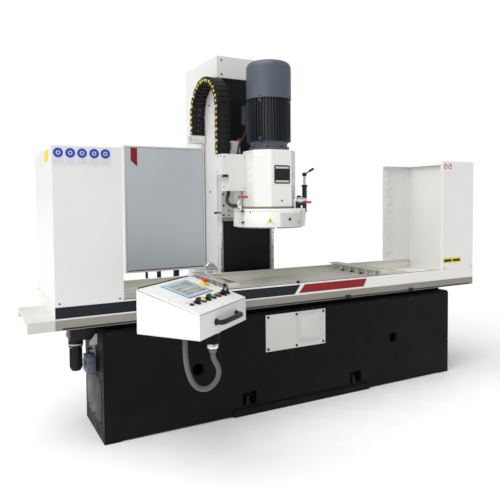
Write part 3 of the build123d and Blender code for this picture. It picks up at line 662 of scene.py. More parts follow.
def make_table():
    soften("table_slab", 2)
    soften("tray", 0.8)
    soften("work_table", 1.5)
    for side in ("left", "right"):
        soften(side + "_support", 1.2)
        soften(side + "_tower", 0.8)
    low, high = box_of("tray")
    front = low.y
    band = Form()
    outline = [(low.x + 3, 778), (-100, 778), (-52, 842), (low.x + 3, 842)]
    band.prism(outline, 0, DECAL, at=on_front(front))
    band.done("apron_band_navy", "table", "sheet_white", material=NAVY)
    band = Form()
    band.prism([(-65, 783), (507, 783), (536, 841), (-16, 841)], 0, DECAL, at=on_front(front))
    band.done("apron_band_red", "table", "sheet_white", material=RED_BAND)
    seal = Form()
    seal.box((-1283, front + 34, 845), (1322, front + 40, 850), 1.5)
    seal.done("tray_edge_seal", "table", "hose_black")
    knob = Form()
    profile = [(0, 22), (8, 21), (11, 16), (11, 8), (6, 5), (6, 0)]
    knob.turned(profile, shift((-60, front + 18, 847)), 28)
    knob.done("tray_knob", "table", "black_plastic")
    rail = Form()
    rail.box((low.x + 40, front - 1.5, 713), (high.x - 40, front + 4, 724), 1)
    for x in (-900, -620, 360, 980):
        rail.box((x - 22, front - 9, 711), (x + 22, front + 2, 733), 2)
        cap_screw(rail, (x - 10, front - 9, 722), (0, -1, 0), 4, 3)
        cap_screw(rail, (x + 10, front - 9, 722), (0, -1, 0), 4, 3)
    rail.done("trip_rail", "table", "screw_black")
    # A thin sheet over the slab's front, painted dark tan as the shade that falls under the apron.
    face = Form()
    face.box((low.x + 2, front - 0.8, 711), (high.x - 2, front + 1, 768.5), 0.4)
    face.done("slab_front_painted_shade", "table", "way_grey", material=SLAB_PAINTED_SHADE)
    lining = Form()
    lining.box((low.x + 4, front + 4, 774), (high.x - 4, high.y - 4, 775), 0.3)
    lining.box((low.x + 4, high.y - 4.5, 775), (high.x - 4, high.y - 3.2, 856), 0.4)
    lining.done("tray_lining", "table", "sheet_white", material=CREAM)
    drain = Form()
    for x in (-1340, 1345):
        drain.turned([(36, 0.5), (36, 4), (30, 5), (24, 1), (0, 1)], shift((x, 395, 774)), 32)
        for k in range(-2, 3):
            drain.box((x - 26, 395 + k * 10 - 1.5, 774.5), (x + 26, 395 + k * 10 + 1.5, 778), 0.5)
    drain.done("tray_drains", "table", "sheet_white")
    for side in ("left", "right"):
        s_low, s_high = box_of(side + "_support")
        x = (s_low.x + s_high.x) / 2
        clamps = Form()
        for y in (25, 145, 265):
            for dx in (-22, 22):
                clamps.turned([(0, 3), (13, 3), (14, 2), (14, 0)], shift((x + dx, y, 826)), 24)
                hex_bolt(clamps, (x + dx, y, 829), (0, 0, 1), 10, 10, 1.1)
        clamps.done(side + "_support_bolts", side + "_work_support", "screw_black")
        pads = Form()
        for y in range(-200, 420, 62):
            pads.box((x - 33, y, 884.5), (x + 33, y + 46, 885.4), 0.3)
        pads.done(side + "_support_pads", side + "_work_support", "ground_steel")


def make_towers():
    low, high = box_of("left_tower")
    front = low.y
    plate = Form()
    plate.prism([(-1672, 1628), (-1345, 1628), (-1345, 1736), (-1672, 1736)], 0, DECAL, at=on_front(front))
    plate.done("sign_plate", "table", "sheet_white", material=LABEL_PALE)
    signs = Form()
    rims = Form()
    for x in (-1638, -1573, -1509, -1442, -1379):
        at = facing((x, front - DECAL, 1702), (0, -1, 0))
        signs.turned([(0, 0.5), (24.5, 0.5), (24.5, 0)], at, 40)
        rims.turned([(24.5, 0), (24.5, 0.5), (27, 0.5), (27, 0)], at, 40)
    signs.done("sign_discs", "table", "sheet_white", material=SIGN_BLUE)
    rims.done("sign_rims", "table", "sheet_white", material=SIGN_BLUE)
    marks = Form()
    for x in (-1638, -1573, -1509, -1442, -1379):
        at = facing((x, front - DECAL - 0.5, 1702), (0, -1, 0))
        marks.turned([(7, 0), (7, 0.4), (12, 0.4), (12, 0)], at, 24)
        for row in range(3):
            z = 1666 - row * 11
            outline = [(x - 24, z), (x + 24, z), (x + 24, z + 4), (x - 24, z + 4)]
            marks.prism(outline, 0, 0.3, at=on_front(front - DECAL))
    marks.done("sign_marks", "table", "sheet_white", material=PAINT["way_grey"])
    patch = Form()
    patch.prism([(-155, 1664), (11, 1664), (11, 1728), (-155, 1728)], 0, DECAL, at=on_left(low.x))
    patch.done("left_tower_patch", "table", "sheet_white", material=SIGN_YELLOW)
    right_low, right_high = box_of("right_tower")
    edge = right_low.x
    notice = Form()
    outline = [(edge + 6, 900), (edge + 212, 900), (edge + 212, 946), (edge + 6, 946)]
    notice.prism(outline, 0, DECAL, at=on_front(front))
    notice.done("right_tower_notice", "table", "sheet_white", material=SIGN_YELLOW)
    bars = Form()
    for start in (edge + 16, edge + 114):
        outline = [(start, 912), (start + 86, 912), (start + 86, 934), (start, 934)]
        bars.prism(outline, 0, DECAL + 0.3, at=on_front(front))
    bars.done("right_tower_notice_bars", "table", "sheet_white", material=DARK_RUBBER)
    rings = Form()
    for x in (edge + 27, edge + 78):
        at = facing((x, front, 1690), (0, -1, 0))
        rings.turned([(15, 0), (15, 0.6), (21, 0.6), (21, 0)], at, 40)
        rings.box((-14, -2, 0), (14, 2, 0.5), 0.1, at @ Matrix.Rotation(math.radians(45), 4, "Z"))
    rings.done("right_tower_ring_marks", "table", "sheet_white", material=RING_RED)
    louvres = Form()
    for step in range(11):
        at = shift((1404, 445, 955 + step * 70)) @ Matrix.Rotation(math.radians(-32), 4, "Y")
        louvres.box((-34, -9, -3), (34, 4, 4), 1.5, at @ Matrix.Rotation(math.radians(28), 4, "X"))
    louvres.done("strip_louvres", "table", "sheet_white")
    screws = Form()
    for t_low, t_high in ((low, high), (right_low, right_high)):
        for x in (t_low.x + 24, t_high.x - 24):
            screws.turned([(0, 2.4), (3.5, 2), (5.5, 0)], facing((x, front, 862), (0, -1, 0)), 20)
    screws.done("tower_screws", "table", "screw_black")


make_bed()
make_table()
make_towers()

# ---- column and chain --------------------------------------------------------------------------
RAIL_REACH = 235.5


def make_column():
    soften("column", 2.5)
    soften("saddle", 1.5)
    low, high = box_of("column_way_cover")
    middle = (low.x + high.x) / 2
    sheets = Form()
    sheets.box((low.x, low.y, low.z), (high.x, low.y + 2, high.z), 0.8)
    for x in (low.x + 3, high.x - 3):
        sheets.box((x - 3, low.y - 5, low.z), (x + 3, low.y + 2, high.z), 1)
    for z in range(int(low.z) + 90, int(high.z), 180):
        sheets.box((low.x + 6, low.y - 0.8, z), (high.x - 6, low.y + 0.4, z + 3), 0.4)
    sheets.done("way_cover_sheet", "base", "cover_black", "column_way_cover")
    c_low, c_high = box_of("column")
    trims = Form()
    for side in (-1, 1):
        x = middle + side * RAIL_REACH
        trims.box((x - 9, 504.2, 760), (x + 9, 505.2, 2396), 0.4)
    trims.done("rail_faces", "base", "ground_steel")
    bolts = Form()
    for side in (-1, 1):
        x = middle + side * RAIL_REACH
        for z in range(800, 2390, 120):
            cap_screw(bolts, (x, 504, z), (0, -1, 0), 4.5, 1.5)
    for x in (c_low.x + 40, c_high.x - 40):
        for z in (2425, 2535):
            cap_screw(bolts, (x, 500, z), (0, -1, 0), 7, 4)
    for y in (650, 1040):
        for z in (860, 1500, 2200):
            cap_screw(bolts, (c_low.x, y, z), (-1, 0, 0), 8, 5)
            cap_screw(bolts, (c_high.x, y, z), (1, 0, 0), 8, 5)
    bolts.done("column_screws", "base", "screw_black")
    cap = Form()
    for x in (middle - 150, middle + 150):
        for y in (640, 1040):
            boss = [(17, 0), (17, 8), (13, 10.5), (9, 10.5), (9, 4), (0, 4)]
            cap.turned(boss, shift((x, y, c_high.z - 11)), 32)
    cap.done("column_lifting_bosses", "base", "bed_black")
    door = Form()
    door.box((middle - 180, c_high.y - 2, 900), (middle + 180, c_high.y + 2, 1700), 1.5)
    for z in (1000, 1300, 1600):
        door.box((middle - 120, c_high.y + 1.5, z), (middle + 120, c_high.y + 4, z + 12), 1)
    for x in (middle - 168, middle + 168):
        for z in (915, 1300, 1685):
            cap_screw(door, (x, c_high.y + 2, z), (0, 1, 0), 6, 4)
    door.done("column_rear_cover", "base", "sheet_white")
    fitting = Form()
    profile = [(30, 0), (44, 0), (45, 1), (45, 14), (42, 17), (30, 17), (26, 12), (12, 12), (10, 16), (0, 16)]
    fitting.turned(profile, facing((-372, 545, 892), (0, -1, 0)), 48)
    for x, z in ring_of(6, 36):
        cap_screw(fitting, (-372 + x, 528, 892 + z), (0, -1, 0), 4, 3)
    fitting.rod((-372, 545, 892), (-316, 545, 892), 20, 2)
    fitting.done("column_side_fitting", "base", "chrome")
    wiper = Form()
    wiper.box((middle - 255, 449.2, 1270), (middle + 255, 450.2, 1296), 0.4)
    wiper.done("saddle_wiper", "head", "way_grey", material=GASKET)
    screws = Form()
    for side in (-1, 1):
        for z in (1315, 1390, 1480, 1600, 1720):
            cap_screw(screws, (middle + side * 240, 450, z), (0, -1, 0), 8, 6)
    for z in (1310, 1350):
        cap_screw(screws, (middle - 195, 450, z), (0, -1, 0), 6, 5)
    screws.rod((-367, 462, 1333), (-308, 462, 1333), 5, 1)
    screws.rod((-313, 462, 1333), (-313, 452, 1333), 5, 1)
    cap = [(0, 0), (8, 1), (9, 4), (9, 18), (7, 22), (0, 23)]
    screws.turned(cap, along((-346, 462, 1333), (-372, 462, 1333)), 24)
    screws.done("saddle_screws", "head", "screw_black")


CHAIN_X = (-430, -322)
CHAIN_MID_Y = 520
CHAIN_R = 245
CHAIN_SPRING = 2118
CHAIN_FRONT_END = 1770
CHAIN_REAR_END = 1965
CHAIN_LINKS = 30


def chain_place(share):
    """Where the chain's centre line is, with Z along it and Y pointing out of the bend."""
    rise = CHAIN_SPRING - CHAIN_FRONT_END
    bend = math.pi * CHAIN_R
    fall = CHAIN_SPRING - CHAIN_REAR_END
    run = share * (rise + bend + fall)
    x = (CHAIN_X[0] + CHAIN_X[1]) / 2
    if run < rise:
        place, angle = (x, CHAIN_MID_Y - CHAIN_R, CHAIN_FRONT_END + run), math.pi
    elif run < rise + bend:
        angle = math.pi - (run - rise) / CHAIN_R
        place = (x, CHAIN_MID_Y + CHAIN_R * math.cos(angle), CHAIN_SPRING + CHAIN_R * math.sin(angle))
    else:
        place, angle = (x, CHAIN_MID_Y + CHAIN_R, CHAIN_SPRING - (run - rise - bend)), 0
    return shift(place) @ Matrix.Rotation(angle - math.pi / 2, 4, "X")


def make_chain():
    links = Form()
    pins = Form()
    half = (CHAIN_X[1] - CHAIN_X[0]) / 2
    pitch = 42.4
    for k in range(CHAIN_LINKS):
        at = chain_place((k + 0.5) / CHAIN_LINKS)
        inset = 0 if k % 2 else 4.5
        for side in (-1, 1):
            xs = sorted((side * (half - inset), side * (half - inset - 4)))
            links.box((xs[0], -pitch / 2 - 6, -26), (xs[1], pitch / 2 + 6, 26), 1.6, at)
        links.box((-half + 6, -20, 22), (half - 6, 20, 27), 1.5, at)
        links.box((-half + 6, -13, -27), (half - 6, 13, -23), 1, at)
        for x in (-half + 14, half - 14):
            links.box((x - 6, -16, 24), (x + 6, 16, 28.5), 1, at)
            links.box((x - 6, -10, -28), (x + 6, 10, -22), 1, at)
        for side in (-1, 1):
            disc = at @ along((side * (half - 3), 0, 0), (side * half, 0, 0))
            pins.turned([(0, 4), (9, 4), (11, 2.5), (11, -2)], disc, 20)
    pieces = [
        links.done("chain_links", None, "chain_black", "cable_chain"),
        pins.done("chain_pins", None, "yellow_plastic", "cable_chain"),
    ]
    for name, slot, offsets in (
        ("chain_leads_grey", "conduit_grey", ((-30, 4), (2, -6), (34, 6))),
        ("chain_leads_red", "red_plastic", ((-14, 8), (18, 4))),
        ("chain_leads_black", "hose_black", ((-40, -8), (-6, 4), (28, -10))),
    ):
        leads = Form()
        for x, out in offsets:
            path = [chain_place(k / 60) @ Vector((x, 0, out)) for k in range(61)]
            leads.tube(path, 6.5, 10)
        pieces.append(leads.done(name, None, slot, "cable_chain"))
    for piece in pieces:
        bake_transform(piece)
    ends = Form()
    ends.box((CHAIN_X[0] + 2, 300, 1771), (CHAIN_X[1] - 2, 309, 1822), 1.5)
    ends.box((CHAIN_X[0] + 2, 290, 1770), (CHAIN_X[1] - 2, 330, 1774), 1)
    for x in (-406, -346):
        hex_bolt(ends, (x, 319, 1774), (0, 0, 1), 6, 7)
    ends.done("chain_head_end", "head", "machined_iron")
    low, high = box_of("chain_bracket")
    bracket = Form()
    bracket.box((low.x, low.y, high.z - 6), high, 1.5)
    bracket.box((low.x, high.y - 6, low.z), (high.x, high.y, high.z), 1.5)
    bracket.box((low.x, low.y, low.z), (high.x, low.y + 6, high.z), 1.5)
    bracket.box((high.x - 6, low.y, low.z), high, 1.5)
    for x in (low.x + 24, high.x - 24):
        hex_bolt(bracket, (x, low.y, (low.z + high.z) / 2), (0, -1, 0), 7, 8)
    bracket.done("chain_base_bracket", "base", "sheet_white", "chain_bracket")


# ---- wheel head --------------------------------------------------------------------------------
AXIS = (-54, 145)
GUARD_R = 272


def on_axis(z):
    return shift((*AXIS, z))


def octagon(half, near):
    corners = [(near, -half), (half, -near), (half, near), (near, half)]
    return [*corners, *[(-x, -y) for x, y in corners]]


def make_housing():
    soften("spindle_housing", 7, segments=4)
    soften("saddle_cover", 1.2)
    low = box_of("spindle_housing")[0]
    gasket = Form()
    gasket.prism(octagon(177, 84), 0, 14.5, 1.2, on_axis(low.z - 14))
    gasket.done("housing_gasket", "head", "way_grey", material=GASKET)
    badge = Form()
    outline = []
    for cx, cz, start in ((12, 12, 180), (-12, 12, 270), (-12, -12, 0), (12, -12, 90)):
        x = -115 + cx if cx > 0 else 18 + cx
        z = 1548 + cz if cz > 0 else 1682 + cz
        for k in range(6):
            angle = math.radians(start + k * 18)
            outline.append((x + 12 * math.cos(angle), z + 12 * math.sin(angle)))
    badge.prism(outline, 0, 1.6, 0.5, on_front(low.y))
    badge.done("head_badge", "head", "black_plastic")
    inlay = Form()
    inlay.prism([(-105, 1558), (8, 1558), (8, 1572), (-105, 1572)], 0, 0.6, at=on_front(low.y - 1.6))
    inlay.prism([(-105, 1658), (8, 1658), (8, 1672), (-105, 1672)], 0, 0.6, at=on_front(low.y - 1.6))
    inlay.done("head_badge_inlay", "head", "machined_iron")
    screws = Form()
    cap_screw(screws, (-52, low.y, 1424), (0, -1, 0), 7, 2.5)
    for x, z in ((-104, 1615), (7, 1615)):
        cap_screw(screws, (x, low.y - 1.6, z), (0, -1, 0), 3, 1.5)
    for y, z in ((255, 1754), (255, 1645), (200, 1754)):
        screws.turned([(0, 2.6), (4, 2.2), (6, 0)], facing((-430, y, z), (-1, 0, 0)), 20)
    screws.turned([(0, 2.6), (4, 2.2), (6, 0)], facing((-380, 255, 1530), (-1, 0, 0)), 20)
    for x, z in ((-415, 1750), (-250, 1750), (-250, 1520)):
        screws.turned([(0, 2.2), (3, 2), (4.5, 0)], facing((x, 170, z), (0, -1, 0)), 20)
    screws.box((-420, 164, 1600), (-388, 171, 1618), 3)
    screws.turned([(0, 8), (7, 7), (9, 3), (9, 0)], facing((-424, 172, 1608), (0, -1, 0)), 20)
    screws.done("head_screws", "head", "screw_black")
    plate = Form()
    plate.box((-281, 328, 1770), (-204, 332, 1885), 0.8)
    plate.box((-281, 328, 1770), (-277, 362, 1885), 0.8)
    plate.box((-281, 328, 1770), (-204, 362, 1774), 0.8)
    plate.done("lead_bracket", "head", "head_white")
    clip = Form()
    clip.box((-222, 322, 1884), (-200, 338, 1902), 3)
    clip.done("lead_clip", "head", "red_plastic")


def guard_point(angle, z, out=0.0):
    """A point on the wheel guard's wall."""
    radius = GUARD_R + out
    return (AXIS[0] + radius * math.cos(angle), AXIS[1] + radius * math.sin(angle), z)


def wrap(form, outline, angle, z, proud=0.6):
    """A flat outline laid round the guard's wall; x runs along the wall and y up."""
    part = bmesh.new()
    rings = []
    for out in (0.1, proud):
        ring = []
        for x, y in outline:
            ring.append(part.verts.new(guard_point(angle + x / GUARD_R, z + y, out)))
        rings.append(ring)
    part.faces.new(rings[1])
    for i in range(len(outline)):
        j = (i + 1) % len(outline)
        part.faces.new([rings[0][i], rings[0][j], rings[1][j], rings[1][i]])
    form.absorb(part)


def make_guard():
    low, high = box_of("wheel_guard")
    top = 1367
    wall = Form()
    profile = [(160, top - 10), (264, top - 10), (266, top - 14), (266, low.z), (GUARD_R, low.z)]
    profile += [(GUARD_R, top - 22), (270.5, top - 20), (GUARD_R, top - 18)]
    profile += [(GUARD_R, top - 6), (270, top - 2), (266, top)]
    profile += [(160, top), (160, high.z), (90, high.z), (90, top - 10), (160, top - 10)]
    wall.turned(profile, on_axis(0), 128)
    wall.done("guard_shell", "head", "head_white", "wheel_guard")
    seam = Form()
    for angle in (-102.9, 77):
        wrap(seam, [(-3, 0), (3, 0), (3, 104), (-3, 104)], math.radians(angle), low.z + 2, 1.2)
    seam.done("guard_seams", "head", "chrome")
    # The door panel's grey is painted shade: it stands for the darker light on a flat face turned from the
    # lamp, though here it is laid round the wall.
    door = Form()
    arc = [(-3 + k * 12, 0) for k in range(20)]
    for k in range(19):
        quad = [arc[k], arc[k + 1], (arc[k + 1][0], 98), (arc[k][0], 98)]
        wrap(door, [(x + 8, y) for x, y in quad], math.radians(-102.9), low.z + 3, 0.9)
    door.done("guard_door_painted_shade", "head", "head_white", material=PAINT["way_grey"])
    dark = Form()
    a = math.radians(-87.6)
    knock_out = facing(guard_point(a, 1291), (math.cos(a), math.sin(a), 0))
    dark.turned([(0, 1.2), (10.5, 1.2), (11.5, 0.8), (11.5, -2)], knock_out, 32)
    for angle in (-164, -150, -60, -20, 20, 60, 120, 160):
        a = math.radians(angle)
        cap_screw(dark, guard_point(a, 1344), (math.cos(a), math.sin(a), 0), 5, 3)
    for angle, z in ((-164, 1268), (-164, 1352)):
        a = math.radians(angle)
        at = shift(guard_point(a, z)) @ Matrix.Rotation(a, 4, "Z")
        dark.box((-2, -16, -5), (9, 10, 5), 2, at)
    dark.done("guard_dark_fittings", "head", "black_plastic")
    latches = Form()
    for z in (1256, 1284, 1338, 1360):
        a = math.radians(-163)
        at = shift(guard_point(a, z)) @ Matrix.Rotation(a, 4, "Z")
        latches.box((-2, -9, -6), (6, 9, 6), 2, at)
        latches.turned([(0, 9), (4, 9), (5, 8), (5, 0)], at @ along((0, 0, 0), (1, 0, 0)), 16)
    latches.done("guard_latches", "head", "chrome")
    signs = Form()
    wrap(signs, [(-29, -24), (29, -24), (0, 28)], math.radians(-118.8), 1280, 0.8)
    wrap(signs, [(-24, -26), (24, -26), (24, 26), (-24, 26)], math.radians(-68), 1274, 1.2)
    signs.done("guard_signs", "head", "head_white", material=SIGN_YELLOW)
    marks = Form()
    wrap(marks, [(-3, -12), (3, -12), (3, 8), (-3, 8)], math.radians(-118.8), 1280, 1.2)
    wrap(marks, [(-15, 6), (15, 6), (15, 10), (-15, 10)], math.radians(-68), 1270, 1.5)
    wrap(marks, [(-15, -8), (15, -8), (15, -4), (-15, -4)], math.radians(-68), 1270, 1.5)
    marks.done("guard_sign_marks", "head", "head_white", material=DARK_RUBBER)


def make_wheel():
    soften("wheel_plate", 1.5)
    soften("grinding_segments", 1.5)
    clamps = Form()
    for x, y in ring_of(10, 215, math.radians(18)):
        hex_bolt(clamps, (AXIS[0] + x, AXIS[1] + y, 1270), (0, 0, -1), 8, 10)
    clamps.done("segment_bolts", "spindle", "screw_black")


def make_motor():
    frame_low, frame_high = box_of("motor_frame")
    base, neck, top = frame_low.z, 1852, frame_high.z
    body = Form()
    profile = [(95, base), (148, base), (150, base + 2), (150, base + 20), (148, base + 22), (139, base + 24)]
    profile += [(138, neck - 6), (143, neck), (148, neck + 6), (140, neck + 12), (95, neck + 12), (95, base)]
    body.turned(profile, on_axis(0), 96)
    body.done("motor_neck", "head", "motor_grey", "motor_frame")
    fins = Form()
    core = [(95, neck + 10), (142, neck + 10), (142, top), (95, top), (95, neck + 10)]
    fins.turned(core, on_axis(0), 96)
    for k in range(46):
        turn = on_axis(0) @ Matrix.Rotation(TAU * k / 46, 4, "Z")
        fins.box((139, -1.8, neck + 12), (165, 1.8, top - 4), 1.2, turn)
    for k in range(4):
        turn = on_axis(0) @ Matrix.Rotation(math.radians(37 + 90 * k), 4, "Z")
        fins.box((138, -14, neck + 2), (164, 14, neck + 40), 4, turn)
        fins.box((138, -12, top - 34), (164, 12, top - 2), 4, turn)
    fins.done("motor_fins", "head", "motor_grey", "motor_frame", material=FIN_DARK)
    bolts = Form()
    for x, y in ring_of(8, 146, math.radians(10)):
        hex_bolt(bolts, (AXIS[0] + x, AXIS[1] + y, base + 20), (0, 0, 1), 7, 10, 1.2)
    for k in range(4):
        angle = math.radians(37 + 90 * k)
        x, y = math.cos(angle), math.sin(angle)
        place = (AXIS[0] + x * 164, AXIS[1] + y * 164, neck + 22)
        cap_screw(bolts, place, (x, y, 0), 6, 4)
        place = (AXIS[0] + x * 168, AXIS[1] + y * 168, top + 14)
        cap_screw(bolts, place, (x, y, 0), 5, 3)
    bolts.done("motor_bolts", "head", "screw_black")
    cowl_low, cowl_high = box_of("motor_cowl")
    grille = Form()
    for radius in (30, 48, 66, 84, 102):
        ring = [(radius, -2), (radius + 5, -2), (radius + 5, 1.4), (radius, 1.4), (radius, -2)]
        grille.turned(ring, on_axis(cowl_high.z), 64)
    for k in range(8):
        turn = on_axis(cowl_high.z) @ Matrix.Rotation(TAU * k / 8, 4, "Z")
        grille.box((20, -3, -2), (106, 3, 1.8), 0.6, turn)
    grille.turned([(0, 2), (24, 2), (26, 0), (26, -2)], on_axis(cowl_high.z), 40)
    grille.done("cowl_grille", "head", "motor_black")
    seam = Form()
    r = (cowl_high.x - cowl_low.x) / 2
    seam.turned([(r - 2, 0), (r + 0.6, 0), (r + 0.6, 5), (r - 2, 5)], on_axis(cowl_low.z), 96)
    seam.done("cowl_rim", "head", "motor_grey")
    low, high = box_of("terminal_box")
    cover = Form()
    cover.box((low.x - 3, low.y + 4, low.z + 6), (low.x, high.y - 4, high.z - 6), 1.5)
    for y in (low.y + 14, high.y - 14):
        for z in (low.z + 16, high.z - 16):
            cap_screw(cover, (low.x - 3, y, z), (-1, 0, 0), 4, 3)
    ring = [(9, 0), (13, 0), (14, 2), (14, 12), (12, 14), (9, 14), (9, 0)]
    cover.turned(ring, shift((-178, 268, low.z - 13)), 24)
    cover.done("terminal_cover", "head", "motor_grey", material=FIN_DARK)
    soften("terminal_box", 3)
    NODES["terminal_box"].data.materials.clear()
    NODES["terminal_box"].data.materials.append(FIN_DARK)
    gland = Form()
    gland.turned(ring, shift((-285, 205, 1770)), 24)
    gland.done("cover_gland", "head", "black_plastic")


make_column()
make_chain()
make_housing()
make_guard()
make_wheel()
make_motor()

# ---- coolant cocks and dresser -----------------------------------------------------------------
def lever(name, body, slot, node, hub, turn, reach, swell):
    """A flat cock lever on a hub, with a rounded grip at its end."""
    at = shift(hub) @ Matrix.Rotation(math.radians(turn), 4, "Z")
    grip = Form(at)
    grip.turned([(0, 12), (9, 12), (11, 10), (11, 1), (10, 0), (0, 0)], None, 28)
    grip.box((6, -5, 4), (reach * 0.55, 5, 8), 1.5)
    grip.box((reach * 0.3, -swell, -3), (reach, swell, 15), 6, steps=3)
    grip.done(name, body, slot, node)
    cap = Form(at)
    cap_screw(cap, (0, 0, 12), (0, 0, 1), 5, 3)
    cap.done(name + "_screw", body, "screw_black")


def make_cocks():
    x, y = -345, 70
    fall = Form()
    fall.tube([(-352, 236, 1502), (-356, 234, 1480), (-372, 214, 1456), (-394, 176, 1432)], 13, 20)
    bend = [(-394, 176, 1432), (-404, 140, 1412), (-404, 104, 1398), (-394, 82, 1392), (-372, 72, 1392)]
    fall.tube([*bend, (x - 12, y, 1392)], 14, 20)
    for k in range(5):
        at = along((-353, 235, 1496 - k * 8), (-353, 235, 1400))
        fall.turned([(13, 0), (15.5, 1.5), (15.5, 3.5), (13, 5)], at, 24)
    fall.done("left_cock_pipe", "head", "hose_black", "left_valve")
    cock = Form()
    profile = [(0, 0), (15, 0), (17, 3), (17, 60), (15, 63), (11, 65), (12, 66), (12, 86), (0, 88)]
    cock.turned(profile, shift((x, y, 1361)), 32)
    for z in (1366, 1412):
        outline = ring_of(6, 19)
        cock.prism(outline, 0, 10, 1.5, shift((x, y, z)))
    cock.pipe((x - 22, y, 1392), (x - 4, y, 1392), 17, 8, 2)
    spout = [(x, y, 1362), (x, y, 1290), (x + 1, y, 1272), (x + 8, y + 2, 1262), (x + 20, y + 6, 1260)]
    cock.tube(spout, 8.5, 20)
    for z in (1296, 1340):
        cock.turned([(8.5, 0), (12, 1), (12, 9), (8.5, 10)], shift((x, y, z)), 24)
    cock.done("left_cock_body", "head", "chrome", "left_valve")
    lever("left_cock_lever", "left_cock", "red_plastic", "left_valve_lever", (x, y, 1448.3), -20, 62, 9)
    x, y = 150, -12
    round_body = Form()
    profile = [(0, 0), (15, 0), (16, 3), (16, 14), (22, 18), (24, 26), (24, 40), (22, 48), (15, 52), (15, 62)]
    profile += [(13, 66), (13, 84), (0, 86)]
    round_body.turned(profile, along((86, y, 1432), (186, y, 1432)), 40)
    outline = ring_of(6, 17)
    round_body.prism(outline, 2, 13, 1.5, along((86, y, 1432), (186, y, 1432)))
    round_body.tube([(92, y, 1432), (80, y, 1430), (72, y, 1422), (70, y, 1408), (70, y, 1367)], 11, 20)
    round_body.rod((x - 24, y, 1410), (x - 24, y, 1455), 11, 2)
    round_body.done("right_cock_body", "head", "chrome", "right_valve")
    darks = Form()
    darks.turned([(16, 0), (19, 1), (19, 9), (16, 10)], along((104, y, 1432), (140, y, 1432)), 32)
    darks.box((98, y - 12, 1449), (124, y + 12, 1462), 3)
    darks.rod((x, y, 1394), (x, y, 1406), 8, 1)
    darks.done("right_cock_clamps", "head", "screw_black")
    lever("right_cock_lever", "right_cock", "red_plastic", "right_valve_lever", (x, y, 1405), -8, 66, 8)


def make_dresser():
    x, y = 232, 95
    body = Form()
    profile = [(9.2, 0), (14, 0), (16, 2), (16, 88), (18, 92), (18, 196), (23, 198), (24, 200), (24, 210)]
    body.turned([*profile, (22, 212), (9.2, 212), (9.2, 0)], shift((x, y, 1333)), 40)
    for z in (1440, 1452, 1464, 1476):
        body.turned([(17.5, 0), (19.2, 1), (19.2, 4), (17.5, 5)], shift((x, y, z)), 40)
    body.box((x - 90, y - 15, 1386), (x + 10, y + 15, 1420), 4)
    body.box((x - 90, y - 15, 1368), (x - 42, y + 15, 1390), 3)
    for dx in (-78, -52):
        cap_screw(body, (x + dx, y, 1420), (0, 0, 1), 7, 6)
    body.done("dresser_guide", "head", "screw_black", "dresser_body")
    rod = Form()
    rod.rod((x, y, 1313), (x, y, 1626), 9, 1)
    rod.turned([(0, 0), (1.5, 0), (4, 8), (4, 14)], shift((x, y, 1301)), 24)
    rod.done("dresser_plunger", "dresser", "ground_steel", "dresser_rod")
    knob = Form()
    profile = [(9, 0), (15, 1), (17, 4), (17, 22), (15, 26), (9, 28), (0, 28)]
    knob.turned(profile, shift((x, y, 1611)), 36)
    tip = (x + 84, y, 1671)
    knob.rod((x + 8, y, 1630), tip, 4.5, 1)
    profile = [(0, 0), (6, 0), (8, 3), (9.5, 26), (9, 44), (6, 50), (0, 52)]
    knob.turned(profile, along((x + 42, y, 1648.5), tip), 28)
    knob.done("dresser_knob", "dresser", "black_plastic", "dresser_rod")


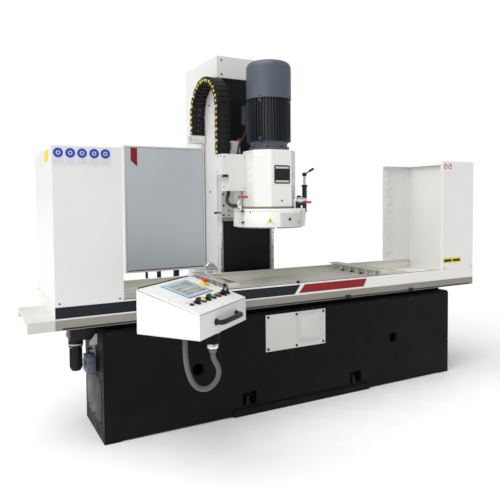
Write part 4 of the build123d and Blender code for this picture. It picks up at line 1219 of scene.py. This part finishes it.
# ---- cabinet -----------------------------------------------------------------------------------
def make_cabinet():
    soften("cabinet_body", 2)
    low, high = box_of("cabinet_door")
    soften("cabinet_door", 3, segments=3)
    front = low.y
    ribbon = Form()
    outline = [(-946, high.z - 2), (-894, high.z - 2), (-894, high.z - 148), (-946, high.z - 100)]
    ribbon.prism(outline, 0, DECAL, at=on_front(front))
    ribbon.done("door_ribbon", "door", "door_grey", material=RED_BAND)
    locks = Form()
    for z in (low.z + 60, high.z - 60):
        at = facing((high.x - 14, front, z), (0, -1, 0))
        locks.turned([(0, 1), (4, 1), (5, 2), (6, 2), (7, 0)], at, 28)
    locks.done("door_locks", "door", "door_grey")
    knuckles = Form()
    for z in (low.z + 90, high.z - 90):
        knuckles.rod((low.x + 1, front + 12, z - 28), (low.x + 1, front + 12, z - 1), 6, 1)
    knuckles.done("door_knuckles_lower", "door", "chrome")
    knuckles = Form()
    for z in (low.z + 90, high.z - 90):
        knuckles.rod((low.x + 1, front + 12, z + 1), (low.x + 1, front + 12, z + 28), 6, 1)
    knuckles.done("door_knuckles_upper", "base", "chrome")
    c_low = box_of("cabinet_body")[0]
    seal = Form()
    for z in (low.z + 16, high.z - 16):
        seal.box((low.x + 14, front + 22, z - 4), (high.x - 14, front + 27, z + 4), 1.5)
    for x in (low.x + 16, high.x - 16):
        seal.box((x - 4, front + 22, low.z + 14), (x + 4, front + 27, high.z - 14), 1.5)
    seal.done("door_seal", "door", "hose_black")
    fan = Form()
    for k in range(7):
        z = 1640 + k * 16
        fan.box((c_low.x - 3, 830, z), (c_low.x + 0.5, 970, z + 8), 1.2)
    fan.box((c_low.x - 2, 815, 1622), (c_low.x + 0.5, 985, 1756), 1.5)
    fan.done("cabinet_louvres", "base", "sheet_white")
    gear = Form()
    gear.box((-960, 1026, 930), (-360, 1034, 1800), 2)
    for z in (1000, 1180, 1360, 1560):
        gear.box((-940, 1016, z), (-380, 1026, z + 12), 1)
    gear.done("cabinet_back_plate", "base", "bearing_steel")
    units = Form()
    for z in (1006, 1186, 1366):
        for k in range(9):
            x = -930 + k * 60
            units.box((x, 950, z - 45), (x + 46 + 4 * (k % 3), 1018, z + 55), 3)
            units.box((x + 8, 944, z - 12), (x + 38, 952, z + 20), 2)
    units.box((-920, 900, 1520), (-700, 1018, 1780), 5)
    units.box((-670, 930, 1540), (-420, 1018, 1760), 5)
    units.done("cabinet_units", "base", "black_plastic")
    glands = Form()
    for x, r, _ in HOSES.values():
        profile = [(r + 0.2, -20), (r + 7, -20), (r + 9, -17), (r + 9, -6), (r + 5, -4), (r + 5, 0)]
        profile += [(r + 0.2, 0)]
        glands.turned(profile, shift((x, 900, c_low.z + 20)), 36)
    glands.done("hose_glands", "base", "black_plastic")
    collars = Form()
    for x, r, _ in HOSES.values():
        profile = [(r + 0.2, 0), (r + 9, 0), (r + 9, 8), (r + 5, 10), (r + 5, 22), (r + 0.2, 24)]
        collars.turned(profile, facing((x, 255, 400), (0, 1, 0)), 36)
    collars.done("hose_collars", "base", "bed_black")
    plate_x = -1000
    plate = Form()
    plate.box((plate_x - 1.2, 862, 1362), (plate_x + 0.4, 938, 1438), 0.5)
    plate.done("switch_plate", "base", "yellow_plastic")
    knob = Form()
    profile = [(0, 15), (22, 15), (25, 13), (26, 10), (26, 0.5), (0, 0.5)]
    knob.turned(profile, facing((plate_x - 1, 900, 1400), (-1, 0, 0)), 40)
    knob.box((plate_x - 34, 892, 1375), (plate_x - 12, 908, 1425), 4, steps=3)
    knob.done("switch_knob", "switch", "red_plastic", "main_switch")


# ---- control panel -----------------------------------------------------------------------------
PANEL_CORNER = (-1110, -1005, 748)
PANEL_TURN = 37.2
PANEL_WIDTH, PANEL_DEPTH = 516, 375
PANEL_FRONT, PANEL_REAR = 132, 238
SLOPE = math.atan2(PANEL_REAR - PANEL_FRONT, PANEL_DEPTH)
PANEL = shift(PANEL_CORNER) @ Matrix.Rotation(math.radians(PANEL_TURN), 4, "Z")


def on_lid(u, v):
    """A placement on the sloping lid, Z out of it."""
    place = shift((u, v, PANEL_FRONT + v * math.tan(SLOPE)))
    return PANEL @ place @ Matrix.Rotation(SLOPE, 4, "X")


def make_panel():
    lid_drop = 8 / math.cos(SLOPE) + 0.3
    front, rear = PANEL_FRONT - lid_drop, PANEL_REAR - lid_drop - 3
    side = Matrix(((0, 0, 1), (1, 0, 0), (0, 1, 0))).to_4x4()
    shell = Form(PANEL)
    outline = [(0, 0), (PANEL_DEPTH, 0), (PANEL_DEPTH, rear), (0, front)]
    for u in (0, PANEL_WIDTH - 3):
        shell.prism(outline, u, u + 3, 0.8, side)
    shell.box((0, 0, 0), (PANEL_WIDTH, 3, front), 1)
    shell.box((0, PANEL_DEPTH - 3, 0), (PANEL_WIDTH, PANEL_DEPTH, rear), 1)
    shell.box((0, 0, 0), (PANEL_WIDTH, PANEL_DEPTH, 3), 1)
    shell.done("panel_shell", "panel", "sheet_white", "panel_box")
    hinge = Form(PANEL)
    pin_v, pin_w = PANEL_DEPTH - 7, PANEL_REAR - 3
    hinge.rod((14, pin_v, pin_w), (PANEL_WIDTH - 14, pin_v, pin_w), 4, 1)
    hinge.box((12, PANEL_DEPTH - 5, PANEL_REAR - 22), (PANEL_WIDTH - 12, PANEL_DEPTH - 1, PANEL_REAR - 2), 1)
    hinge.done("panel_hinge", "panel", "black_plastic")
    px, py, bottom = -979, -855, PANEL_CORNER[2]
    swivel = Form(shift((px, py, 0)))
    swivel.turned([(22, 690), (22, 746), (43, 746.5), (45, 748), (45, 750), (0, 750)], None, 48)
    swivel.turned([(0, 662), (27, 662), (30, 665), (30, 686), (28, 689), (0, 689)], None, 40)
    for x, y in ring_of(4, 34, 0.6):
        cap_screw(swivel, (x, y, 746), (0, 0, -1), 4, 4)
    swivel.done("panel_swivel_joint", "panel", "chrome", "panel_box")
    gland = Form(shift((px, py, 0)))
    gland.turned([(14, 640), (18, 640), (20, 643), (20, 652), (17, 654), (17, 663), (14, 663)], None, 32)
    outline = ring_of(6, 22)
    gland.prism(outline, 652, 662, 1.5)
    gland.at = shift((-1126, -840, 0))
    profile = [(14, bottom - 24), (18, bottom - 24), (20, bottom - 20), (20, bottom - 12)]
    profile += [(22, bottom - 11), (22, bottom), (14, bottom)]
    gland.turned(profile, None, 32)
    gland.done("panel_glands", "panel", "conduit_grey", "panel_box")
    lid = Form(on_lid(0, 0))
    length = (PANEL_DEPTH - 13) / math.cos(SLOPE)
    lid.box((0, 0, -8), (PANEL_WIDTH, length, 0), 1.8, steps=3)
    lid.done("panel_lid_plate", "lid", "sheet_white", "panel_lid")
    screws = Form()
    for u, v in ((14, 12), (502, 12), (258, 12), (14, 190), (502, 190), (14, 350), (502, 350)):
        screws.turned([(0, 1.6), (3.5, 1.4), (5, 0)], on_lid(u, v), 20)
    screws.done("panel_lid_screws", "lid", "ground_steel")
    u0, u1, v0, v1 = 156, 402, 156, 325
    tall = (v1 - v0) / math.cos(SLOPE)
    frame_piece = Form(on_lid(u0, v0))
    wide = u1 - u0
    frame_piece.box((-7, -7, -1), (wide + 7, tall + 7, 2), 1.4, steps=3)
    frame_piece.done("screen_gasket", "lid", "screen", "touch_screen", material=DARK_RUBBER)
    bezel = Form(on_lid(u0, v0))
    bezel.box((-4, -4, 0), (wide + 4, tall + 4, 3.4), 1.4, steps=3)
    bezel.done("screen_bezel", "lid", "screen", "touch_screen", material=GLASS_BLUE)
    glass = Form(on_lid(u0, v0))
    glass.box((26, 24, 3), (wide - 26, tall - 22, 3.9), 0.3)
    glass.done("screen_display", "lid", "screen", material=GLASS_GREY)
    keys = Form(on_lid(u0, v0))
    for k in range(6):
        keys.box((34 + k * 32, 8, 3.2), (54 + k * 32, 17, 4.2), 0.4)
    for row in range(3):
        keys.box((40, 44 + row * 34, 3.8), (wide - 60 - 20 * row, 50 + row * 34, 4.2), 0.2)
    keys.done("screen_marks", "lid", "screen", material=PAINT["way_grey"])
    bezels = Form()
    for u, v in ((130, 92), (190, 92), (240, 92), (300, 94), (355, 94), (460, 92)):
        profile = [(10.2, -2), (20.5, -2), (21, 0), (20, 5), (16, 7), (14.2, 6.5), (14.2, 0.2), (10.2, 0.2)]
        bezels.turned(profile, on_lid(u, v), 40)
    outline = [(16 * math.cos(a), 11 * math.sin(a)) for a in (TAU * k / 32 for k in range(32))]
    bezels.prism(outline, 0, 5, 1.2, on_lid(75, 91))
    bezels.turned([(0, 1), (13, 1), (13, 5), (14, 6), (24, 5), (27, 3), (27, 0), (0, 0)], on_lid(412, 94), 40)
    bezels.done("control_bezels", "lid", "black_plastic")
    fixed = Form()
    at = on_lid(460, 92) @ Matrix.Rotation(0.6, 4, "Z")
    fixed.turned([(0, 12), (13, 12), (14.5, 10), (15, 2), (0, 2)], at, 36)
    fixed.box((-16, -5, 9), (16, 5, 28), 2.5, at, 3)
    fixed.done("key_selector", "lid", "black_plastic")
    plates = Form()
    for u in (75, 130, 190, 240, 300, 355, 412, 460):
        plates.box((-16, 24, 0), (16, 33, 0.8), 0.3, on_lid(u, 92))
    plates.done("control_label_plates", "lid", "machined_iron")
    for name, body, slot in (
        ("reset_button", "reset", "yellow_plastic"),
        ("start_button", "start", "green_plastic"),
        ("stop_button", "stop", "red_plastic"),
    ):
        u, v = {"reset_button": (190, 92), "start_button": (300, 94), "stop_button": (355, 94)}[name]
        cap = Form(on_lid(u, v))
        profile = [(0, 11.4), (9, 11.4), (12, 12), (13, 11), (13, 6.2), (9.8, 6.2), (9.8, -23), (0, -23)]
        cap.turned(profile, None, 40)
        cap.done(name + "_cap", body, slot, name)
    for name, body, u, v in (("mode_selector", "mode", 130, 92), ("feed_selector", "feed", 240, 92)):
        knob = Form(on_lid(u, v))
        profile = [(0, 11), (12, 11), (13.5, 9.5), (14, 6), (14, 0.5), (9.8, 0.4), (9.8, -23), (0, -23)]
        knob.turned(profile, None, 40)
        knob.box((-19, -6.5, 6), (19, 6.5, 31), 3, steps=3)
        knob.done(name + "_knob", body, "black_plastic", name)
        mark = Form(on_lid(u, v))
        mark.box((10, -1, 30.6), (17, 1, 31.4), 0.3)
        mark.done(name + "_mark", body, "black_plastic", material=LABEL_PALE)
    stick = Form(on_lid(412, 94))
    boot = [(12 * math.cos(a), 14 + 12 * math.sin(a)) for a in (math.radians(-90 + 12 * k) for k in range(9))]
    boot += [(15, 18), (11, 21), (12.5, 23), (8, 26), (5, 29), (0, 30)]
    stick.turned(boot, None, 36)
    stick.rod((0, 0, 20), (0, 0, 50), 4.5, 0.5)
    turns = [math.radians(-90 + 15 * k) for k in range(13)]
    ball = [(11 * math.cos(a), 54 + 11 * math.sin(a)) for a in turns]
    stick.turned(ball, None, 36)
    stick.done("jog_handle", "jog", "black_plastic", "jog_stick")
    e_stop = Form(on_lid(456, 236))
    e_stop.turned([(0, 38), (13, 38), (18, 36), (20, 32), (20, 26), (18, 22), (12, 22), (0, 22)], None, 48)
    e_stop.done("estop_cap", "estop", "red_plastic", "estop_button")
    stem = Form(on_lid(456, 236))
    stem.turned([(0, 24), (11, 24), (11, 12), (0, 12)], None, 40)
    stem.turned([(0, 12), (9.8, 12), (9.8, -23), (0, -23)], None, 40)
    stem.done("estop_stem", "estop", "red_plastic", "estop_button", material=PAINT["yellow_plastic"])
    collar = Form(on_lid(456, 236))
    profile = [(10.2, 0), (29, 0), (30, 1.5), (29, 3), (18, 3.4), (15, 6), (14, 14), (11.4, 14)]
    collar.turned([*profile, (10.2, 12), (10.2, 0)], None, 48)
    collar.done("estop_collar", "lid", "yellow_plastic")
    handle = Form(PANEL)
    path = [(160, 0, 62), (160, -20, 62), (165, -31, 62), (177, -38, 62), (196, -39, 62)]
    path += [(550 - u, v, w) for u, v, w in path[::-1]]
    handle.tube(path, [13, 13, 13.5, 14, 14] + [14, 14, 13.5, 13, 13], 24)
    for u in (160, 390):
        handle.turned([(0, 0), (18, 0), (18, 4), (15, 7), (0, 7)], along((u, 0, 62), (u, -10, 62)), 32)
    handle.done("panel_grip", "panel", "black_plastic", "panel_handle")


def make_arm():
    soften("swivel_arm", 3)
    soften("arm_bracket", 3)
    bolts = Form()
    for x in (-898, -804):
        for z in (582, 650):
            cap_screw(bolts, (x, -269, z), (0, -1, 0), 7, 6)
    hex_bolt(bolts, (-851, -335, 747), (0, 0, 1), 10, 10)
    bolts.done("arm_bolts", "base", "screw_black")
    ring = Form()
    ring.turned([(24.5, 0), (33, 0), (34, 1), (34, 3), (24.5, 3)], shift((-851, -335, 735)), 40)
    ring.done("arm_washer", "arm", "ground_steel")


# ---- left end ----------------------------------------------------------------------------------
def make_left_end():
    soften("table_gearbox", 4, segments=3)
    x = -1518
    motor = Form(shift((x, 0, 0)))
    profile = [(0, 396), (26, 396), (30, 400), (30, 409), (36, 411), (36, 536), (40, 540), (40, 548)]
    motor.turned([*profile, (44, 550), (44, 588), (42, 592), (0, 592)], None, 48)
    for k in range(20):
        turn = Matrix.Rotation(TAU * k / 20, 4, "Z")
        motor.box((34, -1.4, 418), (38.5, 1.4, 530), 0.6, turn)
    motor.done("table_drive_motor", "base", "motor_black", "table_motor")
    ring = Form(shift((x, 0, 0)))
    ring.turned([(44, 556), (45.5, 557), (45.5, 563), (44, 564)], None, 48)
    for px, py in ring_of(4, 39, 0.785):
        cap_screw(ring, (px, py, 549.5), (0, 0, -1), 4, 4)
    ring.done("table_drive_ring", "base", "machined_iron")
    caps = Form()
    for y in (-56, 56):
        for z in (606, 688):
            cap_screw(caps, (-1561, y, z), (-1, 0, 0), 5, 4)
    caps.turned([(0, 3), (30, 3), (32, 1), (32, 0)], facing((-1561, 0, 640), (-1, 0, 0)), 40)
    caps.done("gearbox_caps", "base", "screw_black")
    low, high = box_of("lube_unit")
    tank = Form()
    tank.box((low.x, low.y, low.z), (low.x + 56, high.y, 455), 6, steps=3)
    tank.box((low.x + 3, low.y + 6, 452), (low.x + 56, high.y - 6, 487), 5, steps=3)
    tank.box((low.x + 54, low.y + 15, 400), (high.x, high.y - 15, 560), 3)
    tank.turned([(0, 12), (13, 12), (15, 10), (15, 0)], shift((low.x + 30, -60, 486)), 32)
    tank.done("lube_tank", "base", "pump_blue", "lube_unit")
    details = Form()
    details.box((low.x - 1.5, -70, 405), (low.x + 1, -50, 446), 1.5)
    details.rod((low.x + 30, 5, 486), (low.x + 30, 5, 520), 5, 1)
    details.rod((low.x + 30, 5, 516), (high.x, 5, 516), 5, 1)
    for y in (-72, 12):
        for z in (412, 548):
            cap_screw(details, (high.x - 5, y, z), (-1, 0, 0), 4, 3)
    details.done("lube_fittings", "base", "screw_black")
    bracket = Form()
    outline = [(0, 0), (46, 0), (46, 18), (8, 66), (0, 66)]
    turn = Matrix(((-1, 0, 0), (0, 0, 1), (0, 1, 0))).to_4x4()
    bracket.prism(outline, 0, 6, 1, shift((-1411, -110, 566)) @ turn)
    bracket.done("end_bracket", "base", "way_grey")


make_cocks()
make_dresser()
make_cabinet()
make_panel()
make_arm()
make_left_end()
